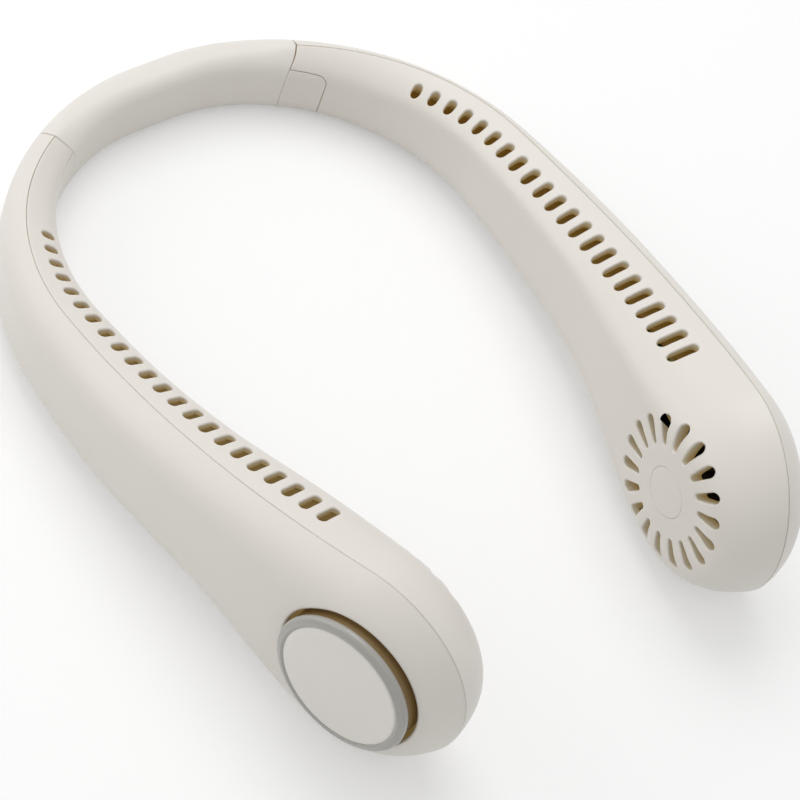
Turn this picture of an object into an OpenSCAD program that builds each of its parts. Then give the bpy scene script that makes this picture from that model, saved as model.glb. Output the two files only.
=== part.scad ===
// Bladeless neck fan: a flexible neck band with a hollow blowing arm on each side.
// The object lies on its underside, the arms point along -Y and the band is at +Y.

/* [Plan path of the arms] */
// half length of the straight piece at the back of the neck
back_half = 6.7; // [0:0.1:20]
// distance from the origin to the back of the path
back_y = 95.7; // [80:0.05:140]
// radius of the bend behind the neck
bend_r = 63.0; // [40:0.1:90]
// angle turned by that bend
bend_deg = 88.6; // [60:0.1:100]
// radius of the long gentle curve of each arm
arm_r = 381; // [200:1:900]
// path length from the back centre to the middle of the head's outline
head_u = 214.7; // [150:0.1:260]

/* [Arm outline] */
// outline radius of the round head
head_r = 28.05; // [20:0.1:40]
// how far the round head reaches under the table, which leaves its small flat
foot_depth = 0.35; // [0:0.05:1]
// length before the head's middle in which the top edge follows the head's round
shoulder_x = 7.2; // [0:0.1:15]
// how far the fan axis lies past the middle of the head's outline
fan_shift = 1.1; // [0:0.1:4]
// how far the fan axis lies over that middle
fan_lift = 0.1; // [-1:0.05:2]
// height of the top edge at even steps from the band, before it meets the head's round
top_z = [19.4, 21.0, 26.6, 33.9, 43.6]; // [10:0.1:60]
// height of the bottom edge at even steps from the band, before it meets the head
bottom_z = [-0.3, -0.2, 1.0, 1.9, 4.0]; // [-1:0.05:10]
// depth of the outer shell behind the parting line at the same steps
outer_depth = [5.5, 4.6, 5.7, 7.3, 8.0, 9.2]; // [3:0.1:12]
// depth of the inner shell in front of the parting line at the same steps
inner_depth = [4.6, 6.6, 10.4, 13.2, 17.2, 19.6]; // [3:0.1:25]
// how far the top edge rounds over on the outer side
outer_top_round = [3.5, 5.5, 10.0, 10.1, 12.0, 14.5]; // [2:0.1:16]
// how far the bottom edge rounds over on the outer side
outer_bottom_round = [4.0, 4.8, 7.8, 8.2, 11.6, 9.4]; // [2:0.1:16]
// how far the top edge rounds over on the inner side
inner_top_round = [4.4, 4.8, 4.9, 5.7, 8.4, 11.0]; // [2:0.1:16]
// how far the bottom edge rounds over on the inner side
inner_bottom_round = [5.5, 6.3, 8.6, 13.5, 16.5, 16.0]; // [2:0.1:18]
// fall of the slotted shoulder for each millimetre inwards
shoulder_fall = [0.35, 0.37, 0.20, 0.20, 0.17, 0.26]; // [0:0.01:0.5]
// how far the tip of the head rounds over, outer side and inner side
tip_round = [11.5, 11.0]; // [5:0.1:20]
// share of the depth lost at the tip of the head
tip_taper_share = 0.08; // [0:0.01:0.3]
// slope of the outer shell at the parting line, at the band and at the head
outer_start_deg = [28, 39]; // [5:1:60]
// squareness of the inner shell's section, at the band and at the head
inner_power = [2.5, 2.3]; // [1.8:0.1:4]
// wall of the shells
wall = 1.6; // [1:0.1:3]
// gap between the two shells of an arm
parting_gap = 0.12; // [0.05:0.01:0.3]

/* [Outlet slots] */
// number of outlet slots on an arm
slot_count = 22; // [4:1:30]
// path position of the slot nearest the band
slot_start = 73.5; // [60:0.1:90]
// spacing of the slots
slot_pitch = 5.47; // [4:0.01:8]
// width of a slot
slot_w = 2.6; // [1.5:0.1:4]
// distance of the outer slot end from the parting line, first and last slot
slot_outer = [3.8, 5.1]; // [2:0.1:8]
// distance of the inner slot end from the parting line, first and last slot
slot_inner = [7.4, 12.8]; // [6:0.1:16]

/* [Inlet vent] */
// number of inlet slots around the fan axis
vent_count = 18; // [8:1:30]
// radius at the inner end of an inlet slot
vent_in_r = 12.1; // [8:0.1:16]
// slope of the vent's face towards the tip and upwards
vent_turn = [0.085, 0.037]; // [0:0.005:0.2]
// width of the plain rim outside the inlet slots
vent_rim = 8.6; // [5:0.1:12]
// width of an inlet slot at its outer end
vent_wide = 2.9; // [1:0.1:4]
// width of an inlet slot at its inner end
vent_narrow = 1.5; // [0.8:0.1:3]
// radius of the plain disc in the middle of the vent
badge_r = 6.5; // [4:0.1:9]

/* [Outer cap] */
// width of the shell's rim round the cap hole
hole_rim = 8.8; // [7:0.1:12]
// gap between the cap disc and the hole, filled partly by the ring
cap_gap = 2.9; // [2:0.1:4]
// height of the button's face over the fan axis origin
cap_face = 11.5; // [9:0.1:14]
// how much lower the plain cap of the other arm and its ring lie
plain_cap_drop = 2.9; // [0:0.1:3.5]
// thickness of the cap disc
cap_t = 2.4; // [1:0.1:4]
// open gap between the translucent ring and the hole
ring_gap = 0.75; // [0.5:0.05:2]
// travel of the power button
button_travel = 0.8; // [0.3:0.1:1.5]

/* [Fan and motor] */
// distance from the impeller to the outline of the head
impeller_rim = 9.9; // [7:0.1:12]
// number of impeller blades
blade_count = 11; // [5:1:20]
// radius of the motor's steel cup
cup_r = 9.5; // [6:0.1:12]
// radius of the motor shaft
shaft_r = 1.0; // [0.5:0.05:2]
// number of stator teeth
tooth_count = 9; // [6:3:12]

/* [Neck band joint] */
// path position of the arm's swing axis
hinge_u = 29.2; // [20:0.1:50]
// radius of the round end of the neck band
knuckle_r = 9.3; // [8:0.1:12]
// radial gap between the round end and the arm
knuckle_gap = 0.3; // [0.1:0.05:0.6]
// radius of the hinge pin
pin_r = 1.5; // [1:0.1:2.5]
// path position of the far edge of the joint cover
cover_u = 48.3; // [42:0.1:55]

/* [Hidden] */
arm_steps = 18;
shoulder_steps = 2;
tip_angles = [14, 30, 46, 61, 75, 86];
profile_steps = 5;
eps = 0.01;
far = 60;
run_fit = 0.05;
bend_end_u = back_half + bend_r * bend_deg * PI / 180;
bend_c = [back_half, back_y - bend_r];
bend_end = bend_c + bend_r * [sin(bend_deg), cos(bend_deg)];
arm_c = bend_end - arm_r * [sin(bend_deg), cos(bend_deg)];
head_z = head_r - foot_depth;
fan_u = head_u + fan_shift;
fan_z = head_z + fan_lift;
turn_from_share = 0.7;
slot_step = 1 / (slot_count - 1);
slot_last = slot_start + (slot_count - 1) * slot_pitch;
hole_r = head_r - hole_rim;
cap_r = hole_r - cap_gap;
ring_r = hole_r - ring_gap;
impeller_r = head_r - impeller_rim;
vent_out_r = head_r - vent_rim;
ivory = [0.91, 0.89, 0.86];
band_ivory = [0.90, 0.88, 0.85];
ring_grey = [0.66, 0.67, 0.66];
black = [0.05, 0.05, 0.05];
steel = [0.72, 0.73, 0.75];
copper = [0.72, 0.42, 0.20];
board_green = [0.10, 0.32, 0.18];
cell_silver = [0.62, 0.64, 0.66];
grey_plastic = [0.35, 0.35, 0.36];

// Path: heading angle and plan point for a path length, mirrored for negative lengths
function heading(u) = sign(u) * heading_half(abs(u));
function heading_half(v) = v < back_half ? 0
    : v < bend_end_u ? (v - back_half) / bend_r * 180 / PI
    : bend_deg + (v - bend_end_u) / arm_r * 180 / PI;
function plan_half(v) = let (a = heading_half(v))
    v < back_half ? [v, back_y]
    : v < bend_end_u ? bend_c + bend_r * [sin(a), cos(a)]
    : arm_c + arm_r * [sin(a), cos(a)];
function plan(u) = let (p = plan_half(abs(u))) [u < 0 ? -p[0] : p[0], p[1]];
function place_uwz(p) = let (a = heading(p[0]), q = plan(p[0]))
    [q[0] + p[1] * sin(a), q[1] + p[1] * cos(a), p[2]];

// Smooth curve through evenly spaced values, for a share from zero to one, level at its ends
function along(v, t, level_end = true) = let (
    n = len(v) - 1,
    x = max(0, min(t, 1)) * n,
    i = min(floor(x), n - 1),
    f = x - i,
    a = i > 0 ? v[i - 1] : v[1],
    b = v[i],
    c = v[i + 1],
    d = i < n - 1 ? v[i + 2] : level_end ? v[n - 1] : 2 * v[n] - v[n - 1])
    (2 * b + (c - a) * f + (2 * a - 5 * b + 4 * c - d) * f * f
        + (3 * b - a - 3 * c + d) * f * f * f) / 2;
function mix(a, b, f) = a + (b - a) * f;

// Heights of the arm's two edges, for a share of the way to the head's middle
function head_top(x) = head_z + sqrt(max(0, head_r * head_r - x * x));
function top_line(t) = let (x = head_u * (1 - t))
    x < shoulder_x ? head_top(x)
    : along(concat(top_z, [head_top(shoulder_x)]), t * head_u / (head_u - shoulder_x), false);
function bottom_line(t) = along(concat(bottom_z, [head_z - head_r]), t);

// Section profile: share across and share down, for a share s from the parting line
function outer_across(s, a0) = (sin(a0 + (90 - a0) * s) - sin(a0)) / (1 - sin(a0));
function outer_down(s, a0) = (cos(a0) - cos(a0 + (90 - a0) * s)) / cos(a0);
function inner_across(s, m) = pow(max(0, sin(90 * s)), 2 / m);
function inner_down(s, m) = 1 - pow(max(0, cos(90 * s)), 2 / m);

// Depth lost by the inner shell at a place by the head, where the vent's face is turned
function face_loss(t, du, dz) = let (f = max(0, (t - turn_from_share) / (1 - turn_from_share)))
    (vent_turn[0] * du + vent_turn[1] * dz) * f * f * (3 - 2 * f);

// One surface point: row is [share, tip angle], side is 1 outer or -1 inner
function skin(row, side, top, s, inset) = let (
    t = row[0],
    al = row[1],
    tip = sin(al) * sin(al),
    side_on = 1 - tip,
    full = side > 0 ? along(outer_depth, t) : along(inner_depth, t),
    depth = full * (1 - tip_taper_share * tip) - inset,
    round_up = side > 0 ? along(outer_top_round, t) : along(inner_top_round, t),
    round_low = side > 0 ? along(outer_bottom_round, t) : along(inner_bottom_round, t),
    round_tip = side > 0 ? tip_round[0] : tip_round[1],
    rr = mix(top ? round_up : round_low, round_tip, tip),
    a0 = mix(outer_start_deg[0], outer_start_deg[1], t) * (top ? 1 : 1 - side_on / 2),
    m = mix(inner_power[0], inner_power[1], t),
    across = side > 0 ? outer_across(s, a0) : inner_across(s, m),
    down = side > 0 ? outer_down(s, a0) : inner_down(s, m),
    w = depth * across,
    fall = side < 0 && top ? along(shoulder_fall, t) * w * side_on : 0,
    d = rr * down + fall + inset,
    reach = head_r - d,
    u = al == 0 ? t * head_u : head_u + reach * sin(al),
    flat_z = top ? top_line(t) - d : bottom_line(t) + d,
    z = al == 0 ? flat_z : head_z + (top ? 1 : -1) * reach * cos(al),
    loss = side < 0 ? across * face_loss(t, u - head_u, z - head_z) : 0)
    [u, side * (w - loss), z];

// Height of the outer skin over the parting plane, at a place near the head's middle
function outer_height(du, dz) = let (
    tip = du > 0,
    t = min(1, 1 + du / head_u),
    edge = dz > 0 ? top_line(t) - head_z - dz : head_z + dz - bottom_line(t),
    d = tip ? head_r - norm([du, dz]) : edge,
    rr = dz > 0 ? along(outer_top_round, t) : along(outer_bottom_round, t),
    down = min(1, d / min(rr, tip ? tip_round[0] : rr)),
    a0 = outer_start_deg[1],
    x = acos(cos(a0) * (1 - down)))
    along(outer_depth, t) * (1 - tip_taper_share) * (sin(x) - sin(a0)) / (1 - sin(a0));

function arm_rows(t0) = let (t1 = 1 - shoulder_x / head_u) concat(
    [for (i = [0 : arm_steps]) [mix(t0, t1, i / arm_steps), 0]],
    [for (i = [1 : shoulder_steps]) [mix(t1, 1, i / shoulder_steps), 0]],
    [for (a = tip_angles) [1, a]]);
function shares() = [for (j = [0 : profile_steps]) j / profile_steps];

// Half section of one shell, shifted off the parting plane
function half_line(row, side, top, inset) = [
    for (s = shares()) skin(row, side, top, s, inset) + [0, side < 0 ? -parting_gap * (1 - s) : 0, 0]];
// Whole section through both shells, from the inner face to the outer face
function full_line(row, top, inset) = concat(
    [for (j = [profile_steps : -1 : 1]) skin(row, -1, top, j / profile_steps, inset)],
    [for (s = shares()) skin(row, 1, top, s, inset)]);

// Solid between a list of top lines and a list of bottom lines, closed at both ends
module line_loft(tops, bottoms, stitch = true) {
    n = len(tops[0]);
    rows = len(tops);
    ring = 2 * n;
    pts = [
        for (r = [0 : rows - 1])
            for (k = [0 : ring - 1])
                place_uwz(k < n ? tops[r][k] : bottoms[r][ring - 1 - k])];
    sides = [
        for (r = [0 : rows - 2])
            for (k = [0 : ring - 1])
                let (k2 = (k + 1) % ring)
                    [r * ring + k, r * ring + k2, (r + 1) * ring + k2, (r + 1) * ring + k]];
    tris = [
        for (q = sides)
            for (h = [0, 1])
                h == 0 ? [q[0], q[1], q[2]] : [q[0], q[2], q[3]]];
    e = (rows - 1) * ring;
    first = stitch
        ? [for (q = end_strip(n, 0)) [q[2], q[1], q[0]]]
        : [[for (k = [ring - 1 : -1 : 0]) k]];
    last = stitch ? end_strip(n, e) : [[for (k = [0 : ring - 1]) e + k]];
    polyhedron(pts, concat(tris, first, last), convexity = 8);
}

// triangles that close an end, between its top line and its bottom line
function end_strip(n, e) = [
    for (k = [0 : n - 2])
        for (h = [0, 1])
            let (low = e + 2 * n - 2 - k)
                h == 0 ? [e + k, e + k + 1, low] : [e + k, low, low + 1]];

// Solid form of one shell over a list of rows, and the hollow inside both shells
module half_form(side, rows) {
    line_loft([for (r = rows) half_line(r, side, side > 0, 0)],
              [for (r = rows) half_line(r, side, side < 0, 0)]);
}
module hollow_form(rows) {
    line_loft([for (r = rows) full_line(r, true, wall)],
              [for (r = rows) full_line(r, false, wall)]);
}
module arm_half(side) {
    half_form(side, arm_rows(hinge_u / head_u));
}
module arm_cavity() {
    hollow_form(arm_rows((hinge_u - pin_r) / head_u));
}

// Bar of rectangular section that follows the path
module path_bar(u0, u1, w0, w1, lift, height, steps) {
    us = [for (i = [0 : steps]) u0 + (u1 - u0) * i / steps];
    line_loft([for (i = [0 : steps]) [[us[i], w0, lift[i] + height], [us[i], w1, lift[i] + height]]],
              [for (i = [0 : steps]) [[us[i], w0, lift[i]], [us[i], w1, lift[i]]]], false);
}

// Local frames: X along the path, Y outwards, Z up
module at_path(u, w, z) {
    translate(place_uwz([u, w, z])) rotate([0, 0, -heading(u)]) children();
}
// Fan frame: Z outwards along the fan axis, Y up, and the turned face of the vent in it
module at_head() {
    translate(place_uwz([fan_u, 0, fan_z])) rotate([90, 0, 180 - heading(fan_u)]) children();
}
module at_vent() {
    at_head() translate([0, 0, vent_face]) rotate([atan(vent_turn[1]), atan(vent_turn[0]), 0]) children();
}
module tube(r_out, r_in, h) {
    difference() {
        cylinder(r = r_out, h = h, $fn = 96);
        translate([0, 0, -eps]) cylinder(r = r_in, h = h + 2 * eps, $fn = 96);
    }
}

// the table under the part, which cuts small flats where the part stands
module under_table() {
    translate([-far * 3, -far * 3, -far]) cube([far * 6, far * 6, far]);
}

// Outer shell: hinge end, cap hole, motor posts, joint boss and inside ribs
post_r = 2.3;
post_rim = 7.0;
post_ring_r = head_r - post_rim;
post_angles = [30, 150, 270];
half_turn_deg = 60;
mount_top = -3.6;
boss_r = 2.4;
joint_screw_u = 43.2;
usb_w = -3.4;
usb_step = 4.5;
usb_size = [9.0, 3.2, 7.4];
usb_gap = 0.25;
module arm_outer() {
    color(ivory) difference() {
        union() {
            difference() {
                arm_half(1);
                arm_cavity();
            }
            at_head() for (a = post_angles)
                rotate([0, 0, a]) translate([post_ring_r, 0, mount_top])
                    cylinder(r = post_r, h = post_top(a) - mount_top, $fn = 16);
            at_path(joint_screw_u, 0, joint_z()) rotate([-90, 0, 0])
                translate([0, 0, boss_start()])
                    cylinder(r = boss_r, h = boss_end() - boss_start(), $fn = 16);
            ribs();
        }
        at_head() cylinder(r = hole_r, h = far, $fn = 64);
        at_head() for (a = post_angles)
            rotate([0, 0, a]) translate([post_ring_r, 0, mount_top - eps])
                cylinder(r = screw_r + run_fit, h = screw_len, $fn = 16);
        at_path(joint_screw_u, 0, joint_z()) rotate([-90, 0, 0])
            cylinder(r = screw_r + run_fit, h = joint_screw_end + run_fit * 4, $fn = 16);
        hinge_clear();
        under_table();
    }
}
function boss_start() = tongue_w / 2 - tongue_offset() + run_fit * 4;
function boss_end() = along(outer_depth, joint_screw_u / head_u) - wall / 2;
// a post ends inside the shell's wall, at the skin over its outermost point
function post_top(a) = let (r = post_ring_r + post_r)
    outer_height(fan_shift - r * cos(a), fan_lift + r * sin(a)) - wall / 3;
// short ribs under the top edge, each blended from two small blocks
rib_count = 9;
rib_t = 1.2;
rib_start_u = 64;
rib_step_u = 13.5;
rib_low = [5.2, 7.4];
rib_high = [1.3, 3.4];
rib_w = [0.9, 3.2];
module ribs() {
    for (i = [0 : rib_count - 1]) hull() {
        rib_block(rib_start_u + i * rib_step_u, 0);
        rib_block(rib_start_u + i * rib_step_u, 1);
    }
}
module rib_block(u, k) {
    at_path(u, rib_w[k], top_edge(u) - (rib_low[k] + rib_high[k]) / 2)
        cube([rib_t, rib_t / 2, rib_low[k] - rib_high[k]], center = true);
}
function top_edge(u) = top_line(u / head_u);
function bottom_edge(u) = bottom_line(u / head_u);
function joint_z() = (top_edge(hinge_u) + bottom_edge(hinge_u)) / 2;
module hinge_clear() {
    at_path(hinge_u, 0, -far / 2) cylinder(r = knuckle_r + knuckle_gap, h = far * 2, $fn = 96);
}

// Inner shell: outlet slots on the shoulder, inlet slots and badge recess on the face
badge_t = 1.0;
vent_face = face_loss(1, fan_shift, fan_lift) - inner_depth[len(inner_depth) - 1];
module arm_inner() {
    color(ivory) difference() {
        arm_half(-1);
        arm_cavity();
        for (i = [0 : slot_count - 1]) outlet_slot(i * slot_step, slot_start + i * slot_pitch);
        at_head() for (i = [0 : vent_count - 1])
            rotate([0, 0, (i + 1 / 2) * 360 / vent_count]) inlet_slot();
        at_vent() translate([0, 0, -badge_t])
            cylinder(r = badge_r + run_fit, h = badge_t * 2, $fn = 48);
        hinge_clear();
        cover_zone(cover_gap);
        if ($right) at_path(usb_u(), usb_w, bottom_edge(usb_u()))
            cube([usb_size[0] + 2 * usb_gap, usb_size[1] + 2 * usb_gap, wall * 5], center = true);
        under_table();
    }
}
slot_reach = 10.5;
vent_reach = 8.4;
vent_over = 3.2;
slot_facets = 6;
module outlet_slot(f, u) {
    hull() {
        at_path(u, -mix(slot_outer[0], slot_outer[1], f) - slot_w / 2, top_edge(u) - slot_reach)
            cylinder(d = slot_w, h = slot_reach * 2, $fn = slot_facets);
        at_path(u, -mix(slot_inner[0], slot_inner[1], f) + slot_w / 2, top_edge(u) - slot_reach)
            cylinder(d = slot_w, h = slot_reach * 2, $fn = slot_facets);
    }
}
module inlet_slot() {
    hull() {
        translate([vent_out_r - vent_wide / 2, 0, vent_face - vent_over])
            cylinder(d = vent_wide, h = vent_reach, $fn = slot_facets);
        translate([vent_in_r + vent_narrow / 2, 0, vent_face - vent_over])
            cylinder(d = vent_narrow, h = vent_reach, $fn = slot_facets);
    }
}
// the joint cover fills this zone of the inner shell, from the hinge to a rounded far edge
cover_corner = 2.6;
cover_top_drop = 3.4;
cover_gap = 0.15;
cover_spans = 3;
function cover_rows(u) = let (rows = arm_rows(u / head_u)) [for (i = [0 : cover_spans]) rows[i]];
module cover_zone(gap) {
    at_path(cover_u, wall * 2, 0) rotate([90, 0, 0]) linear_extrude(far / 3) cover_outline(gap);
}
module cover_outline(gap) {
    top = top_edge(hinge_u) - cover_top_drop + gap;
    r = cover_corner + gap;
    translate([-far / 2, -wall * 2]) square([far / 2 + gap, wall * 2 + top - r]);
    translate([-far / 2, top - r - eps]) square([far / 2 - cover_corner, r + eps]);
    translate([-cover_corner, top - r]) circle(r = r, $fn = 32);
}
module joint_cover() {
    color(ivory) difference() {
        intersection() {
            half_form(-1, cover_rows(hinge_u));
            cover_zone(0);
        }
        hollow_form(cover_rows(hinge_u - pin_r));
        hinge_clear();
        under_table();
    }
}

// Badge disc, flush in the vent
module vent_badge() {
    color(ivory) at_vent() cylinder(r = badge_r, h = badge_t, $fn = 64);
}

// Impeller: hub cup over the motor, back disc and leaning blades
hub_wall = 1.1;
hub_r = cup_r + hub_wall;
disc_rim = 0.3;
hub_end = -15.6;
disc_back = -7.4;
disc_t = 1.0;
blade_t = 1.1;
blade_lean = 22;
blade_tip_z = -13.0;
module impeller() {
    color(black) at_head() {
        difference() {
            union() {
                translate([0, 0, hub_end])
                    cylinder(r = hub_r, h = disc_back + disc_t - hub_end, $fn = 96);
                translate([0, 0, disc_back]) cylinder(r = impeller_r - disc_rim, h = disc_t, $fn = 96);
                for (i = [0 : blade_count - 1]) rotate([0, 0, i * 360 / blade_count]) blade();
            }
            translate([0, 0, hub_end + disc_t]) cylinder(r = cup_r, h = far / 4, $fn = 96);
        }
    }
}
module blade() {
    intersection() {
        translate([hub_r - disc_t / 2, 0, blade_tip_z]) rotate([0, 0, blade_lean])
            translate([0, -blade_t / 2, 0])
                cube([impeller_r, blade_t, disc_back + disc_t / 2 - blade_tip_z]);
        translate([0, 0, blade_tip_z]) cylinder(r = impeller_r, h = far / 4, $fn = 96);
    }
}

// Motor: steel cup, magnets, shaft, bearing, stator with coils and its board
cup_wall = 0.9;
cup_open = -6.9;
magnet_t = 1.0;
air_gap = 0.35;
core_r = cup_r - cup_wall - magnet_t - air_gap * 2;
core_z = [-12.6, -8.6];
bearing_r = 2.2;
sleeve_r = 3.1;
tooth_w = 1.1;
tooth_cap_w = 3.2;
tooth_cap_t = 0.8;
coil_w = 2.3;
coil_len = 2.0;
board_t = 0.6;
mount_t = 1.8;
mount_rim = 2.1;
lug_r = 3.0;
module rotor_cup() {
    color(steel) at_head() difference() {
        translate([0, 0, hub_end + disc_t])
            cylinder(r = cup_r, h = cup_open - hub_end - disc_t, $fn = 96);
        translate([0, 0, hub_end + disc_t + cup_wall])
            cylinder(r = cup_r - cup_wall, h = far / 4, $fn = 96);
        translate([0, 0, hub_end]) cylinder(r = shaft_r, h = far / 4, $fn = 48);
    }
}
module magnet_ring() {
    color(grey_plastic) at_head() translate([0, 0, hub_end + disc_t + cup_wall])
        tube(cup_r - cup_wall, cup_r - cup_wall - magnet_t, cup_open - hub_end - disc_t - cup_wall);
}
module motor_shaft() {
    color(steel) at_head() translate([0, 0, hub_end + disc_t])
        cylinder(r = shaft_r, h = mount_top - run_fit * 4 - hub_end - disc_t, $fn = 48);
}
module motor_bearing() {
    color(copper) at_head() translate([0, 0, core_z[0] - run_fit * 4])
        tube(bearing_r, shaft_r + run_fit, mount_top - mount_t - core_z[0] + run_fit * 4);
}
module stator_core() {
    color(steel) at_head()
        translate([0, 0, core_z[0]]) linear_extrude(core_z[1] - core_z[0]) difference() {
        union() {
            circle(r = sleeve_r + cup_wall, $fn = 96);
            for (i = [0 : tooth_count - 1]) rotate([0, 0, i * 360 / tooth_count]) {
                translate([sleeve_r + cup_wall / 2, -tooth_w / 2])
                    square([core_r - tooth_cap_t / 2 - sleeve_r - cup_wall / 2, tooth_w]);
                translate([core_r - tooth_cap_t, -tooth_cap_w / 2]) square([tooth_cap_t, tooth_cap_w]);
            }
        }
        circle(r = sleeve_r, $fn = 96);
    }
}
module stator_coils() {
    color(copper) at_head() for (i = [0 : tooth_count - 1]) rotate([0, 0, i * 360 / tooth_count])
        translate([sleeve_r + cup_wall + air_gap / 2, 0, (core_z[0] + core_z[1]) / 2]) rotate([0, 90, 0])
            difference() {
                translate([0, 0, coil_len / 4])
                    cube([core_z[1] - core_z[0] + tooth_w, coil_w, coil_len / 2], center = true);
                translate([0, 0, coil_len / 4])
                    cube([core_z[1] - core_z[0], tooth_w, coil_len], center = true);
            }
}
module motor_board() {
    color(board_green) at_head() translate([0, 0, mount_top - mount_t - board_t])
        tube(cup_r, sleeve_r + run_fit, board_t);
}
module motor_mount() {
    color(grey_plastic) at_head() difference() {
        union() {
            translate([0, 0, mount_top - mount_t])
                cylinder(r = post_ring_r - mount_rim, h = mount_t, $fn = 96);
            for (a = post_angles) rotate([0, 0, a]) {
                translate([post_ring_r, 0, mount_top - mount_t])
                    cylinder(r = lug_r, h = mount_t, $fn = 48);
                translate([post_ring_r / 2, -lug_r, mount_top - mount_t])
                    cube([post_ring_r / 2, lug_r * 2, mount_t]);
            }
            translate([0, 0, core_z[0]]) cylinder(r = sleeve_r, h = mount_top - core_z[0], $fn = 96);
        }
        translate([0, 0, core_z[0] - eps])
            cylinder(r = bearing_r, h = mount_top - mount_t - core_z[0] + eps, $fn = 96);
        translate([0, 0, core_z[0]]) cylinder(r = shaft_r + run_fit * 4, h = far / 4, $fn = 48);
        for (a = post_angles) rotate([0, 0, a]) translate([post_ring_r, 0, mount_top - mount_t - eps])
            cylinder(r = screw_r + run_fit, h = mount_t + 2 * eps, $fn = 48);
        for (a = post_angles) rotate([0, 0, a + half_turn_deg])
            translate([seat_post_ring, 0, mount_top - mount_t - eps])
            cylinder(r = seat_peg_r, h = mount_t + 2 * eps, $fn = 48);
    }
}
screw_r = 0.8;
screw_len = 6.0;
screw_head_r = 1.5;
screw_head_t = 0.9;
module screw(len) {
    translate([0, 0, -screw_head_t / 2]) cylinder(r = screw_r, h = len + screw_head_t / 2, $fn = 48);
    translate([0, 0, -screw_head_t]) cylinder(r = screw_head_r, h = screw_head_t, $fn = 48);
}
module motor_screws() {
    color(steel) at_head() for (a = post_angles) rotate([0, 0, a])
        translate([post_ring_r, 0, mount_top - mount_t]) screw(screw_len);
}

// Cap group: seat on posts, light board, translucent ring and the cap itself
seat_post_inset = 1.5;
seat_post_ring = cap_r - seat_post_inset;
seat_post_r = 2.0;
seat_peg_r = 1.0;
seat_z = 3.0;
seat_t = 1.4;
seat_rim = 0.4;
seat_r = ring_r - seat_rim;
stem_r = 5.9;
guide_fit = 0.08;
guide_t = 1.3;
guide_h = 3.5;
light_z = seat_z + seat_t;
light_gap = 2.7;
light_in_r = stem_r + guide_fit + guide_t + light_gap;
light_out_r = cap_r - seat_rim;
slide_gap = 0.3;
ring_in_r = cap_r + slide_gap;
ring_top = 11.1;
function drop() = $right ? plain_cap_drop : 0;
switch_size = [5.2, 5.2, 1.6];
plunger_r = 1.2;
plunger_h = 0.5;
module cap_seat() {
    color(grey_plastic) at_head() {
        difference() {
            union() {
                translate([0, 0, seat_z]) cylinder(r = seat_r, h = seat_t, $fn = 96);
                translate([0, 0, seat_z])
                    tube(stem_r + guide_fit + guide_t, stem_r + guide_fit, seat_t + guide_h - drop());
                for (a = post_angles) rotate([0, 0, a + half_turn_deg])
                    translate([seat_post_ring, 0, mount_top])
                    cylinder(r = seat_post_r, h = seat_z + seat_t / 2 - mount_top, $fn = 48);
                for (a = post_angles) rotate([0, 0, a + half_turn_deg])
                    translate([seat_post_ring, 0, mount_top - mount_t])
                    cylinder(r = seat_peg_r, h = mount_t + eps, $fn = 48);
            }
        }
    }
}
module light_board() {
    color(board_green) at_head() translate([0, 0, light_z]) tube(light_out_r, light_in_r, board_t);
}
module cap_ring() {
    color(ring_grey) at_head() {
        translate([0, 0, light_z]) tube(ring_r, ring_in_r, ring_top - drop() - light_z);
    }
}
module power_switch() {
    color(black) at_head() translate([0, 0, light_z]) {
        translate([-switch_size[0] / 2, -switch_size[1] / 2, 0]) cube(switch_size);
        translate([0, 0, switch_size[2] - eps]) cylinder(r = plunger_r, h = plunger_h, $fn = 48);
    }
}
module cap_disc(stem_gap) {
    color(ivory) at_head() {
        low = cap_face - drop() - cap_t;
        translate([0, 0, low]) cylinder(r = cap_r, h = cap_t, $fn = 128);
        stem_low = light_z + switch_size[2] + plunger_h + stem_gap;
        translate([0, 0, stem_low]) cylinder(r = stem_r, h = low - stem_low + eps, $fn = 96);
    }
}

// Arm inside: cell, duct floor, flat cable, main board and charging socket
cell_size = [50, 8.6, 13];
cell_gap = 10.4;
floor_drop = 12.4;
cell_lift_gap = 0.25;
cell_u = head_u - head_r - cell_gap - cell_size[0] / 2;
cell_w = -4.4;
cell_z = top_edge(cell_u - cell_size[0] / 2) - floor_drop - cell_lift_gap - cell_size[2] / 2;
main_size = [54, 1.0, 11];
main_shift = 4.0;
main_lift = 2.6;
main_w = 2.9;
floor_u = [slot_start - slot_pitch, slot_last];
floor_w = [-5.2, 2.2];
floor_t = 1.2;
floor_steps = 16;
cable_gap = 8.5;
cable_u = [cover_u + cable_gap, cell_u - cell_size[0] / 2 - cable_gap];
cable_w = [-0.6, 0.6];
cable_h = 3.4;
cable_steps = 12;
module arm_cell() {
    color(cell_silver) at_path(cell_u, cell_w, cell_z) cube(cell_size, center = true);
}
module duct_floor() {
    lift = [
        for (i = [0 : floor_steps]) top_edge(mix(floor_u[0], floor_u[1], i / floor_steps)) - floor_drop];
    color(grey_plastic)
        path_bar(floor_u[0], floor_u[1], floor_w[0], floor_w[1], lift, floor_t, floor_steps);
}
module arm_cable() {
    lift = [for (i = [0 : cable_steps]) mix(joint_z() - cable_h, cell_z - cable_h, i / cable_steps)];
    color(black) path_bar(cable_u[0], cable_u[1], cable_w[0], cable_w[1], lift, cable_h, cable_steps);
}
module main_board() {
    color(board_green) at_path(cell_u - main_shift, main_w, cell_z + main_lift)
        cube(main_size, center = true);
}
function usb_u() = cell_u + (cell_size[0] + usb_size[0]) / 2 + usb_step;
module usb_socket() {
    color(steel) at_path(usb_u(), usb_w, bottom_edge(usb_u()) + usb_size[2] / 2 + wall) difference() {
        cube(usb_size, center = true);
        translate([0, 0, -wall])
            cube([usb_size[0] - wall / 2, usb_size[1] - wall / 2, usb_size[2]], center = true);
    }
}

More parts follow.
